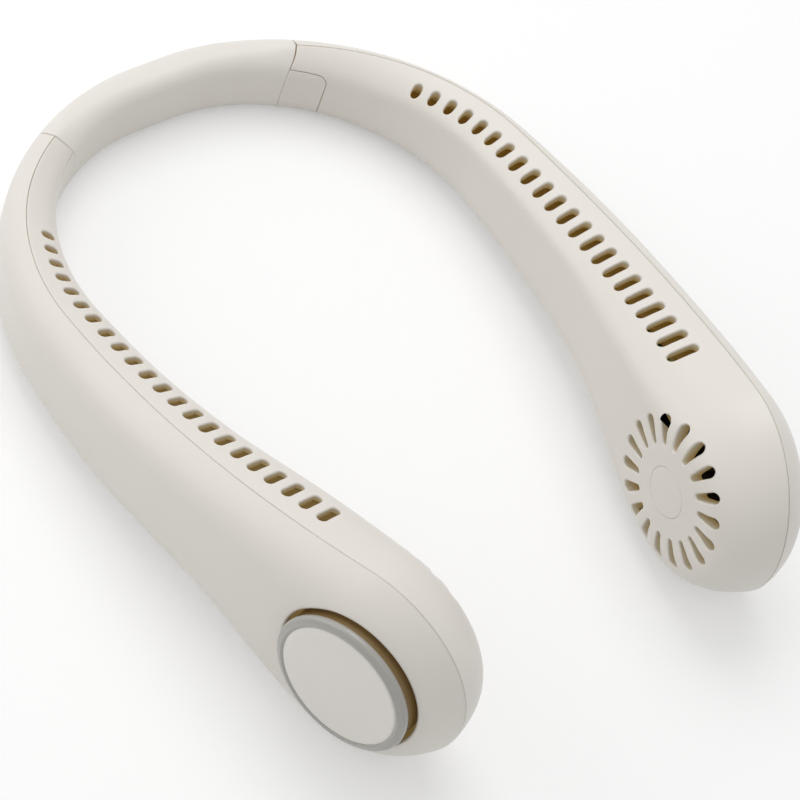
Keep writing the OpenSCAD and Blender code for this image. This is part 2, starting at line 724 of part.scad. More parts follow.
// Hinge: tongue fixed in the arm, pin and end block in the band
tongue_w = 5.0;
tongue_h = 5.6;
tongue_end_u = 50.5;
eye_r = 3.4;
joint_screw_end = 3.5;
block_r = 4.5;
block_len = 9.0;
block_w = 5.2;
block_h = 13.6;
tongue_gap = 0.3;
module hinge_tongue() {
    color(grey_plastic) at_path(hinge_u, 0, joint_z()) difference() {
        rotate([0, 0, tongue_lean()]) translate([0, 0, -tongue_h / 2]) {
            rotate([0, 0, 180]) cylinder(r = eye_r, h = tongue_h, $fn = 96);
            translate([0, -tongue_w / 2, 0])
                cube([norm(local_at(tongue_end_u)), tongue_w, tongue_h]);
        }
        translate([0, 0, -tongue_h]) cylinder(r = pin_r + run_fit, h = tongue_h * 2, $fn = 96);
        translate(tongue_hole()) rotate([90, 0, tongue_turn()])
            cylinder(r = screw_r + run_fit, h = tongue_w * 3, center = true, $fn = 48);
    }
}
// the tongue is a straight bar from the pin to the screw and a little past it
function local_at(u) = let (
    a = heading(hinge_u),
    d = place_uwz([u, 0, 0]) - place_uwz([hinge_u, 0, 0]))
    [d[0] * cos(a) - d[1] * sin(a), d[0] * sin(a) + d[1] * cos(a), 0];
function tongue_hole() = local_at(joint_screw_u);
function tongue_turn() = heading(hinge_u) - heading(joint_screw_u);
function tongue_lean() = let (p = local_at(tongue_end_u)) atan2(p[1], p[0]);
// how far it lies inwards of the path at the screw
function tongue_offset() = let (p = tongue_hole())
    p[0] * sin(-tongue_lean()) + p[1] * cos(tongue_lean());
module hinge_screw() {
    seat = tongue_w / 2 + tongue_offset() + run_fit * 2;
    color(steel) at_path(joint_screw_u, -seat, joint_z()) rotate([-90, 0, 0])
        screw(joint_screw_end + seat);
}
module hinge_pin() {
    color(steel) at_path(hinge_u, 0, joint_z() - block_h / 2) cylinder(r = pin_r, h = block_h, $fn = 96);
}
module band_end() {
    color(grey_plastic) difference() {
        at_path(hinge_u, 0, joint_z()) difference() {
            union() {
                translate([0, 0, -block_h / 2]) cylinder(r = block_r, h = block_h, $fn = 96);
                translate([-block_len, -block_w / 2, -block_h / 2]) cube([block_len, block_w, block_h]);
            }
            translate([0, 0, -block_h]) cylinder(r = pin_r, h = block_h * 2, $fn = 96);
            tongue_window();
        }
        at_path(hinge_u - block_len * 3 / 4, 0, joint_z())
            cube([block_len / 2 + spine_t * 2, spine_t + spine_gap * 2, spine_h + spine_gap * 2],
                 center = true);
    }
}
// room for the tongue to swing, in the end block and in the sleeve, turned to mid swing
window_back = 4.2;
swing_middle = 4;
module tongue_window() {
    translate([0, 0, -tongue_h / 2 - tongue_gap]) {
        cylinder(r = window_back, h = tongue_h + 2 * tongue_gap, $fn = 96);
        rotate([0, 0, tongue_lean() + swing_middle]) translate([0, -window_back, 0])
            cube([far / 4, window_back * 2, tongue_h + 2 * tongue_gap]);
    }
}

// Band: spring strip, flat cable and the soft sleeve around them
spine_t = 0.8;
spine_gap = 0.2;
spine_h = 9.0;
spine_steps = 16;
band_steps = 16;
band_cable_w = [-2.6, -1.6];
module band_spine() {
    reach = hinge_u - block_len / 2 - run_fit * 6;
    lift = [for (i = [0 : spine_steps]) joint_z() - spine_h / 2];
    color(steel) path_bar(-reach, reach, -spine_t / 2, spine_t / 2, lift, spine_h, spine_steps);
}
module band_cable() {
    reach = hinge_u - block_len - run_fit * 10;
    lift = [for (i = [0 : spine_steps]) joint_z() - cable_h / 2];
    color(black) path_bar(-reach, reach, band_cable_w[0], band_cable_w[1], lift, cable_h, spine_steps);
}
function band_line(u, top, inset) = let (t = abs(u) / head_u)
    [for (p = full_line([t, 0], top, inset)) [u, p[1], p[2]]];
module band_solid(reach, inset) {
    us = [for (i = [0 : band_steps]) -reach + 2 * reach * i / band_steps];
    line_loft([for (u = us) band_line(u, true, inset)], [for (u = us) band_line(u, false, inset)], false);
}
module band_sleeve() {
    color(band_ivory) difference() {
        intersection() {
            band_solid(hinge_u + knuckle_r + wall, 0);
            union() {
                band_zone();
                for (sd = [0, 1]) mirror([sd, 0, 0]) at_path(hinge_u, 0, -far / 2)
                    cylinder(r = knuckle_r, h = far * 2, $fn = 48);
            }
        }
        band_hollow();
        for (sd = [0, 1]) mirror([sd, 0, 0]) at_path(hinge_u, 0, joint_z()) {
            translate([0, 0, -block_h / 2]) cylinder(r = block_r, h = block_h, $fn = 32);
            translate([-block_len, -block_w / 2, -block_h / 2]) cube([block_len, block_w, block_h]);
            tongue_window();
        }
        under_table();
    }
}
// plan zone of the band between the two hinge axes
module band_zone() {
    pts = concat(
        [for (i = [0 : band_steps]) let (u = hinge_u * (2 * i / band_steps - 1)) plan_at(u, far / 4)],
        [for (i = [band_steps : -1 : 0]) let (u = hinge_u * (2 * i / band_steps - 1))
            plan_at(u, -far / 4)]);
    translate([0, 0, -far / 2]) linear_extrude(far * 2) polygon(pts);
}
function plan_at(u, w) = let (p = place_uwz([u, w, 0])) [p[0], p[1]];
// hollow of the sleeve, with room for the spring strip and the cable
hollow_w = [-3.0, 2.4];
hollow_h = 12.0;
module band_hollow() {
    reach = hinge_u - block_len / 2;
    lift = [for (i = [0 : spine_steps]) joint_z() - hollow_h / 2];
    path_bar(-reach, reach, hollow_w[0], hollow_w[1], lift, hollow_h, spine_steps);
}

// The two sides: each sub-part is drawn on the right, and mirrored for the left
module on_right() {
    $right = true;
    children();
}
module on_left() {
    $right = false;
    mirror([1, 0, 0]) children();
}
module right_outer_shell() on_right() arm_outer();
module left_outer_shell() on_left() arm_outer();
module right_inner_shell() on_right() arm_inner();
module left_inner_shell() on_left() arm_inner();
module right_joint_cover() on_right() joint_cover();
module left_joint_cover() on_left() joint_cover();
module right_vent_badge() on_right() vent_badge();
module left_vent_badge() on_left() vent_badge();
module right_impeller() on_right() impeller();
module left_impeller() on_left() impeller();
module right_rotor_cup() on_right() rotor_cup();
module left_rotor_cup() on_left() rotor_cup();
module right_magnet_ring() on_right() magnet_ring();
module left_magnet_ring() on_left() magnet_ring();
module right_motor_shaft() on_right() motor_shaft();
module left_motor_shaft() on_left() motor_shaft();
module right_motor_bearing() on_right() motor_bearing();
module left_motor_bearing() on_left() motor_bearing();
module right_stator_core() on_right() stator_core();
module left_stator_core() on_left() stator_core();
module right_stator_coils() on_right() stator_coils();
module left_stator_coils() on_left() stator_coils();
module right_motor_board() on_right() motor_board();
module left_motor_board() on_left() motor_board();
module right_motor_mount() on_right() motor_mount();
module left_motor_mount() on_left() motor_mount();
module right_motor_screws() on_right() motor_screws();
module left_motor_screws() on_left() motor_screws();
module right_cap_seat() on_right() cap_seat();
module left_cap_seat() on_left() cap_seat();
module right_light_board() on_right() light_board();
module left_light_board() on_left() light_board();
module right_cap_ring() on_right() cap_ring();
module left_cap_ring() on_left() cap_ring();
module right_cap_disc() on_right() cap_disc(-switch_size[2] - plunger_h);
module left_cap_disc() on_left() cap_disc(button_travel + run_fit);
module left_power_switch() on_left() power_switch();
module right_arm_cell() on_right() arm_cell();
module left_arm_cell() on_left() arm_cell();
module right_duct_floor() on_right() duct_floor();
module left_duct_floor() on_left() duct_floor();
module right_arm_cable() on_right() arm_cable();
module left_arm_cable() on_left() arm_cable();
module right_main_board() on_right() main_board();
module right_usb_socket() on_right() usb_socket();
module right_hinge_tongue() on_right() hinge_tongue();
module left_hinge_tongue() on_left() hinge_tongue();
module right_hinge_screw() on_right() hinge_screw();
module left_hinge_screw() on_left() hinge_screw();
module right_hinge_pin() on_right() hinge_pin();
module left_hinge_pin() on_left() hinge_pin();
module right_band_end() on_right() band_end();
module left_band_end() on_left() band_end();

band_sleeve();
band_spine();
band_cable();
right_band_end();
left_band_end();
right_hinge_pin();
left_hinge_pin();
right_hinge_tongue();
left_hinge_tongue();
right_hinge_screw();
left_hinge_screw();
right_joint_cover();
left_joint_cover();
right_outer_shell();
left_outer_shell();
right_inner_shell();
left_inner_shell();
right_vent_badge();
left_vent_badge();
right_impeller();
left_impeller();
right_rotor_cup();
left_rotor_cup();
right_magnet_ring();
left_magnet_ring();
right_motor_shaft();
left_motor_shaft();
right_motor_bearing();
left_motor_bearing();
right_stator_core();
left_stator_core();
right_stator_coils();
left_stator_coils();
right_motor_board();
left_motor_board();
right_motor_mount();
left_motor_mount();
right_motor_screws();
left_motor_screws();
right_cap_seat();
left_cap_seat();
right_light_board();
left_light_board();
right_cap_ring();
left_cap_ring();
right_cap_disc();
left_cap_disc();
left_power_switch();
right_arm_cell();
left_arm_cell();
right_duct_floor();
left_duct_floor();
right_arm_cable();
left_arm_cable();
right_main_board();
right_usb_socket();
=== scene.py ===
"""Bladeless neck fan, dressed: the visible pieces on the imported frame, with their finishes.

Sizes are in millimetres, as in the part's own source, and turn to metres where a mesh is made.
"""

import logging
import math
from dataclasses import dataclass, field
from enum import Enum
from functools import cache
from typing import Any, Callable, Iterable, Sequence

import bpy
from mathutils import Matrix, Vector
from mathutils.geometry import delaunay_2d_cdt
from mathutils.kdtree import KDTree


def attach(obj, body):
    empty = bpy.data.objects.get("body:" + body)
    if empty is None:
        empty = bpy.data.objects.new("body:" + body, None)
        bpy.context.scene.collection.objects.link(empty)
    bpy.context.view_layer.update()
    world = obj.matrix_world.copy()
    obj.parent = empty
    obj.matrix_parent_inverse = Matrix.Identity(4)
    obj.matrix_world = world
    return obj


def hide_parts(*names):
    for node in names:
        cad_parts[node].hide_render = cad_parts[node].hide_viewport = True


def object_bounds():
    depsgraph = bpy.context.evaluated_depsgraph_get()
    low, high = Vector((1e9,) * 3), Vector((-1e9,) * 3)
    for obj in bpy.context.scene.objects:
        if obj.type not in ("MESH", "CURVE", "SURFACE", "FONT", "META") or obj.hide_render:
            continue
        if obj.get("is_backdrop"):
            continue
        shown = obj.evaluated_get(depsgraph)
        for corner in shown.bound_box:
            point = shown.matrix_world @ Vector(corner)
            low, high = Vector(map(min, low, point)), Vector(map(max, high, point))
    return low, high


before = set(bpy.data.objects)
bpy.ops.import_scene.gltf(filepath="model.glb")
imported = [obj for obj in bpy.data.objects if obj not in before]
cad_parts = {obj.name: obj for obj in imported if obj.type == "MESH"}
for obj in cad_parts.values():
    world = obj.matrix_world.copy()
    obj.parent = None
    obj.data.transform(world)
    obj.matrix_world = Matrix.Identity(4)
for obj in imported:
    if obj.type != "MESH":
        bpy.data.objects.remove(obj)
LOG = logging.getLogger("neck_fan")
MM = 0.001
TINY = 1e-6
HALVINGS = 26
Flat = tuple[float, float]
Rim = Callable[[float], list[Flat]]


class Side(Enum):
    """The two shells of an arm, which meet in its parting line."""

    OUTER = 1
    INNER = -1


class Hand(Enum):
    """The two arms, which mirror each other."""

    RIGHT = 1
    LEFT = -1

    @property
    def word(self) -> str:
        """First word of the node names of this arm."""
        return self.name.lower()


def mix(a: float, b: float, share: float) -> float:
    """Value between a and b at a share."""
    return a + (b - a) * share


def along(table: Sequence[float], share: float, level_end: bool = True) -> float:
    """Smooth curve through evenly spaced values.

    Args:
        table: The values.
        share: Place along them, from zero to one.
        level_end: Whether the curve levels out at its end, as it does at its start.

    Returns:
        The value there.
    """
    last = len(table) - 1
    x = max(0.0, min(share, 1.0)) * last
    i = min(int(x), last - 1)
    f = x - i
    a = table[i - 1] if i > 0 else table[1]
    b, c = table[i], table[i + 1]
    after = table[last - 1] if level_end else 2 * table[last] - table[last - 1]
    d = table[i + 2] if i < last - 1 else after
    cubic = 3 * b - a - 3 * c + d
    return (2 * b + (c - a) * f + (2 * a - 5 * b + 4 * c - d) * f * f + cubic * f ** 3) / 2


def solve(rising: Callable[[float], float], goal: float, high: float = 1.0) -> float:
    """Argument between zero and high at which a rising function reaches a goal, by halving."""
    low = 0.0
    for _ in range(HALVINGS):
        middle = (low + high) / 2
        if rising(middle) < goal:
            low = middle
        else:
            high = middle
    return (low + high) / 2


# Form of the arms


@dataclass(frozen=True)
class PlanPath:
    """Plan path of an arm, from the middle of the neck band to the fan axis."""

    back_half: float = 6.7
    back_y: float = 95.7
    bend_r: float = 63.0
    bend_deg: float = 88.6
    arm_r: float = 381.0

    def heading(self, u: float) -> float:
        """Angle turned by the path at a path length, in radians."""
        v = abs(u)
        bend = math.radians(self.bend_deg)
        bend_end = self.back_half + self.bend_r * bend
        if v < self.back_half:
            turn = 0.0
        elif v < bend_end:
            turn = (v - self.back_half) / self.bend_r
        else:
            turn = bend + (v - bend_end) / self.arm_r
        return math.copysign(turn, u)

    def place(self, u: float, w: float, z: float) -> Vector:
        """Point in space.

        Args:
            u: Path length from the middle of the band, negative on the left.
            w: Distance outwards from the parting surface.
            z: Height.

        Returns:
            The point, in millimetres.
        """
        turn = self.heading(abs(u))
        across = Vector((math.sin(turn), math.cos(turn), 0.0))
        bend = math.radians(self.bend_deg)
        centre = Vector((self.back_half, self.back_y - self.bend_r, 0.0))
        if turn == 0.0:
            point = Vector((abs(u), self.back_y, 0.0))
        elif turn <= bend:
            point = centre + self.bend_r * across
        else:
            end = Vector((math.sin(bend), math.cos(bend), 0.0))
            point = centre + (self.bend_r - self.arm_r) * end + self.arm_r * across
        point = point + w * across
        return Vector((math.copysign(point.x, u) if u else point.x, point.y, z))


@dataclass(frozen=True)
class ArmForm:
    """Outline, depths and roundings of an arm, at even steps from the band to the head."""

    path: PlanPath = PlanPath()
    head_u: float = 214.7
    head_r: float = 28.05
    foot_depth: float = 0.35
    shoulder_x: float = 7.2
    fan_shift: float = 1.1
    fan_lift: float = 0.1
    top_z: tuple[float, ...] = (19.4, 21.0, 26.6, 33.9, 43.6)
    bottom_z: tuple[float, ...] = (-0.3, -0.2, 1.0, 1.9, 4.0)
    outer_depth: tuple[float, ...] = (5.5, 4.6, 5.7, 7.3, 8.0, 9.2)
    inner_depth: tuple[float, ...] = (4.6, 6.6, 10.4, 13.2, 17.2, 19.6)
    outer_top_round: tuple[float, ...] = (3.5, 5.5, 10.0, 10.1, 12.0, 14.5)
    outer_bottom_round: tuple[float, ...] = (4.0, 4.8, 7.8, 8.2, 11.6, 9.4)
    inner_top_round: tuple[float, ...] = (4.4, 4.8, 4.9, 5.7, 8.4, 11.0)
    inner_bottom_round: tuple[float, ...] = (5.5, 6.3, 8.6, 13.5, 16.5, 16.0)
    shoulder_fall: tuple[float, ...] = (0.35, 0.37, 0.20, 0.20, 0.17, 0.26)
    tip_round: tuple[float, float] = (11.5, 11.0)
    tip_taper_share: float = 0.08
    outer_start_deg: tuple[float, float] = (28.0, 39.0)
    inner_power: tuple[float, float] = (2.5, 2.3)
    vent_turn: tuple[float, float] = (0.085, 0.037)
    turn_from_share: float = 0.7
    wall: float = 1.6
    parting_gap: float = 0.12

    @property
    def head_z(self) -> float:
        """Height of the middle of the head's outline."""
        return self.head_r - self.foot_depth

    @property
    def fan_u(self) -> float:
        """Path length to the fan axis."""
        return self.head_u + self.fan_shift

    @property
    def fan_z(self) -> float:
        """Height of the fan axis."""
        return self.head_z + self.fan_lift

    @property
    def vent_face(self) -> float:
        """Distance of the vent's face from the parting surface on the fan axis, as a depth."""
        return self.inner_depth[-1] - self.face_loss(1.0, self.fan_shift, self.fan_lift)

    def _head_top(self, x: float) -> float:
        """Height of the head's round at a distance from its middle."""
        return self.head_z + math.sqrt(max(0.0, self.head_r ** 2 - x * x))

    def top_line(self, share: float) -> float:
        """Height of the top edge at a share of the way to the head's middle."""
        x = self.head_u * (1 - share)
        if x < self.shoulder_x:
            return self._head_top(x)
        table = (*self.top_z, self._head_top(self.shoulder_x))
        return along(table, share * self.head_u / (self.head_u - self.shoulder_x), False)

    def bottom_line(self, share: float) -> float:
        """Height of the bottom edge at a share of the way to the head's middle."""
        return along((*self.bottom_z, self.head_z - self.head_r), share)

    def face_loss(self, share: float, du: float, dz: float) -> float:
        """Depth lost by the inner shell beside the head's middle, where the vent's face turns.

        Args:
            share: Share of the way to the head's middle.
            du: Distance past that middle along the path.
            dz: Distance over that middle.

        Returns:
            The lost depth.
        """
        f = max(0.0, (share - self.turn_from_share) / (1 - self.turn_from_share))
        return (self.vent_turn[0] * du + self.vent_turn[1] * dz) * f * f * (3 - 2 * f)

    def to_head(self) -> Matrix:
        """Frame of the right fan: origin on its axis, Z outwards, Y up, in millimetres."""
        turn = self.path.heading(self.fan_u)
        origin = self.path.place(self.fan_u, 0.0, self.fan_z)
        outwards = Vector((math.sin(turn), math.cos(turn), 0.0))
        up = Vector((0.0, 0.0, 1.0))
        back = up.cross(outwards)
        return Matrix.Translation(origin) @ Matrix((back, up, outwards)).transposed().to_4x4()

    def beside_fan(self, ahead: float, up: float, depth: float) -> Flat:
        """Path length and height of a point beside the fan axis.

        Args:
            ahead: Straight distance from the axis towards the tip.
            up: Distance over the axis.
            depth: Distance outwards from the parting surface, along the axis.

        Returns:
            The place in the side view.
        """
        radius = self.path.arm_r
        return self.fan_u + radius * math.atan2(ahead, radius + depth), self.fan_z + up


@dataclass
class HalfSection:
    """Half of one cross-section of a shell, from the parting line to the flat of the shell."""

    form: ArmForm
    side: Side
    share: float
    tip: float
    top: bool
    depth: float = field(init=False)
    rounding: float = field(init=False)
    start: float = field(init=False)
    power: float = field(init=False)
    slope: float = field(init=False)
    flat_drop: float = field(init=False)
    span: float = field(init=False)

    def __post_init__(self) -> None:
        """Works out the sizes of this section once."""
        form, outer = self.form, self.side is Side.OUTER
        round_tip = math.sin(self.tip) ** 2
        depths = form.outer_depth if outer else form.inner_depth
        upper = form.outer_top_round if outer else form.inner_top_round
        lower = form.outer_bottom_round if outer else form.inner_bottom_round
        self.depth = along(depths, self.share) * (1 - form.tip_taper_share * round_tip)
        self.rounding = mix(along(upper if self.top else lower, self.share),
                            form.tip_round[0 if outer else 1], round_tip)
        self.start = math.radians(mix(*form.outer_start_deg, self.share))
        self.start *= 1.0 if self.top else 1 - (1 - round_tip) / 2
        self.power = mix(*form.inner_power, self.share)
        self.slope = 0.0
        if self.top and not outer:
            self.slope = along(form.shoulder_fall, self.share) * (1 - round_tip)
        self.flat_drop = self.rounding + self.slope * self.depth
        self.span = math.pi / 2 * math.sqrt((self.depth ** 2 + self.flat_drop ** 2) / 2)

    def across(self, s: float) -> float:
        """Distance from the parting surface at a share of the section."""
        if self.side is Side.OUTER:
            low = math.sin(self.start)
            high = math.sin(self.start + (math.pi / 2 - self.start) * s)
            return self.depth * (high - low) / (1 - low)
        return self.depth * max(0.0, math.sin(math.pi / 2 * s)) ** (2 / self.power)

    def down(self, s: float) -> float:
        """Distance in from the arm's outline at a share of the section."""
        if self.side is Side.OUTER:
            low = math.cos(self.start)
            high = math.cos(self.start + (math.pi / 2 - self.start) * s)
            return self.rounding * (low - high) / low
        curve = 1 - max(0.0, math.cos(math.pi / 2 * s)) ** (2 / self.power)
        return self.rounding * curve + self.slope * self.across(s)

    def flat_edge(self) -> float:
        """Height, or radius in the tip, at which the flat of the shell begins."""
        form = self.form
        if self.tip > 0:
            return form.head_r - self.flat_drop
        if self.top:
            return form.top_line(self.share) - self.flat_drop
        return form.bottom_line(self.share) + self.flat_drop

    def lie(self, s: float) -> Flat:
        """Path length and height at a share of the section."""
        form, d, way = self.form, self.down(s), 1 if self.top else -1
        if self.tip > 0:
            reach = form.head_r - d
            return (form.head_u + reach * math.sin(self.tip),
                    form.head_z + way * reach * math.cos(self.tip))
        edge = form.top_line(self.share) if self.top else form.bottom_line(self.share)
        return self.share * form.head_u, edge - way * d

    def out(self, s: float) -> float:
        """Distance from the parting surface at a share of the section, with the face's turn."""
        w, form = self.across(s), self.form
        if self.side is Side.OUTER or self.share < form.turn_from_share:
            return w
        u, z = self.lie(s)
        return w * (1 - form.face_loss(self.share, u - form.head_u, z - form.head_z) / self.depth)

    def point(self, s: float) -> Vector:
        """Point of the skin at a share of the section, in millimetres, flat where it rests."""
        form, w = self.form, self.side.value * self.out(s)
        w -= form.parting_gap * (1 - s) if self.side is Side.INNER else 0.0
        u, z = self.lie(s)
        return form.path.place(u, w, max(z, 0.0))


class Skin:
    """Outside of one shell, laid out flat as if its rounded edges were unrolled.

    The flat layout has the path length across and the height up, as in the side view, and the
    rounded edges carry on outwards from the flat of the shell at their own length.
    """

    def __init__(self, form: ArmForm, side: Side) -> None:
        """Keeps the form and the side."""
        self.form = form
        self.side = side

    def half(self, a: float, b: float) -> tuple[HalfSection, float]:
        """Section that a flat point lies in.

        Args:
            a: Path length in the flat layout.
            b: Height in the flat layout.

        Returns:
            The half section, and how far past the flat's edge the point lies.
        """
        form = self.form
        if a <= form.head_u:
            share = a / form.head_u
            upper = HalfSection(form, self.side, share, 0.0, True)
            lower = HalfSection(form, self.side, share, 0.0, False)
            if b > (upper.flat_edge() + lower.flat_edge()) / 2:
                return upper, b - upper.flat_edge()
            return lower, lower.flat_edge() - b
        x, y = a - form.head_u, b - form.head_z
        section = HalfSection(form, self.side, 1.0, math.atan2(x, abs(y)), y >= 0)
        return section, math.hypot(x, y) - section.flat_edge()

    def flat_depth(self, a: float, b: float) -> float:
        """Distance of the shell's flat from the parting surface at a flat point."""
        form = self.form
        share = min(1.0, a / form.head_u)
        inner = self.side is Side.INNER
        loss = form.face_loss(share, a - form.head_u, b - form.head_z) if inner else 0.0
        if a <= form.head_u:
            return HalfSection(form, self.side, share, 0.0, True).depth - loss
        ends = []
        for top in (False, True):
            def reach(tip: float, top: bool = top) -> float:
                """Distance ahead of the fan axis at which the flat ends, for a tip angle."""
                return HalfSection(form, self.side, 1.0, tip, top).flat_edge() * math.sin(tip)
            tip = solve(reach, a - form.head_u, math.pi / 2)
            section = HalfSection(form, self.side, 1.0, max(tip, TINY), top)
            ends.append((section.depth, section.flat_edge() * math.cos(tip)))
        (low_depth, low), (high_depth, high) = ends
        share = (b - form.head_z + low) / max(low + high, TINY)
        return mix(low_depth, high_depth, max(0.0, min(share, 1.0))) - loss

    def place(self, a: float, b: float) -> Vector:
        """Point of the skin in space, in millimetres, for a flat point."""
        section, past = self.half(a, b)
        if past > 0:
            return section.point(max(0.0, 1 - past / section.span))
        return self.form.path.place(a, self.side.value * self.flat_depth(a, b), b)

    def normal(self, a: float, b: float) -> Vector:
        """Outward direction of the skin at a flat point."""
        step = 0.04
        one = self.place(a + step, b) - self.place(a - step, b)
        two = self.place(a, b + step) - self.place(a, b - step)
        return one.cross(two).normalized() * -self.side.value

    def over_shoulder(self, u: float, w: float) -> Flat:
        """Flat point of the upper edge at a path length and a distance from the parting surface."""
        section = HalfSection(self.form, self.side, u / self.form.head_u, 0.0, True)
        s = solve(section.out, w)
        return u, section.flat_edge() + section.span * (1 - s)

    def seen(self, u: float, z: float) -> Flat:
        """Flat point for a place in the side view."""
        form = self.form
        if u <= form.head_u:
            section, past = self.half(u, z)
            if past <= 0:
                return u, z
            edge = form.top_line(section.share) if section.top else form.bottom_line(section.share)
            s = solve(section.down, abs(edge - z))
            out = section.flat_edge()
            return u, out + section.span * (1 - s) if section.top else out - section.span * (1 - s)
        section, past = self.half(u, z)
        if past <= 0:
            return u, z
        centre = Vector((form.head_u, form.head_z))
        ray = Vector((u, z)) - centre
        s = solve(section.down, form.head_r - ray.length)
        point = centre + ray.normalized() * (section.flat_edge() + section.span * (1 - s))
        return point.x, point.y

    def edge(self, a: float, top: bool) -> Flat:
        """Flat point on the parting line, over or under the arm."""
        section = HalfSection(self.form, self.side, a / self.form.head_u, 0.0, top)
        return a, section.flat_edge() + (section.span if top else -section.span)

    def tip_edge(self, turn: float) -> Flat:
        """Flat point on the parting line round the tip, for an angle from the top to the bottom."""
        top = turn <= math.pi / 2
        tip = turn if top else math.pi - turn
        section = HalfSection(self.form, self.side, 1.0, max(tip, TINY), top)
        out = section.flat_edge() + section.span
        return self.form.head_u + out * math.sin(turn), self.form.head_z + out * math.cos(turn)


# Moulded skins


@dataclass
class Edge:
    """One closed edge of a moulded wall: its rim at any distance, its lip and its cut wall."""

    rim: Rim
    lip: float
    into: Vector | None = None
    collar: float = 0.0


def pulled_in(points: Sequence[Flat], least_turn: float = 0.3) -> Rim:
    """Rim of an outer edge: the points, moved in by any distance.

    Args:
        points: The edge, in order round the patch.
        least_turn: Limit to the divisor at a corner, so that a sharp one isn't moved too far.

    Returns:
        A function from a distance to the moved points.
    """
    area = sum(p[0] * q[1] - q[0] * p[1] for p, q in zip(points, [*points[1:], points[0]]))
    way = 1.0 if area > 0 else -1.0

    def rim(distance: float) -> list[Flat]:
        """The edge, moved in."""
        moved = []
        for i, p in enumerate(points):
            before = Vector(p) - Vector(points[i - 1])
            after = Vector(points[(i + 1) % len(points)]) - Vector(p)
            before.normalize()
            after.normalize()
            inwards = Vector((-before.y - after.y, before.x + after.x)) * way
            stretch = max(least_turn, 1 + before.dot(after))
            moved.append(tuple(Vector(p) + inwards * distance / stretch))
        return moved
    return rim


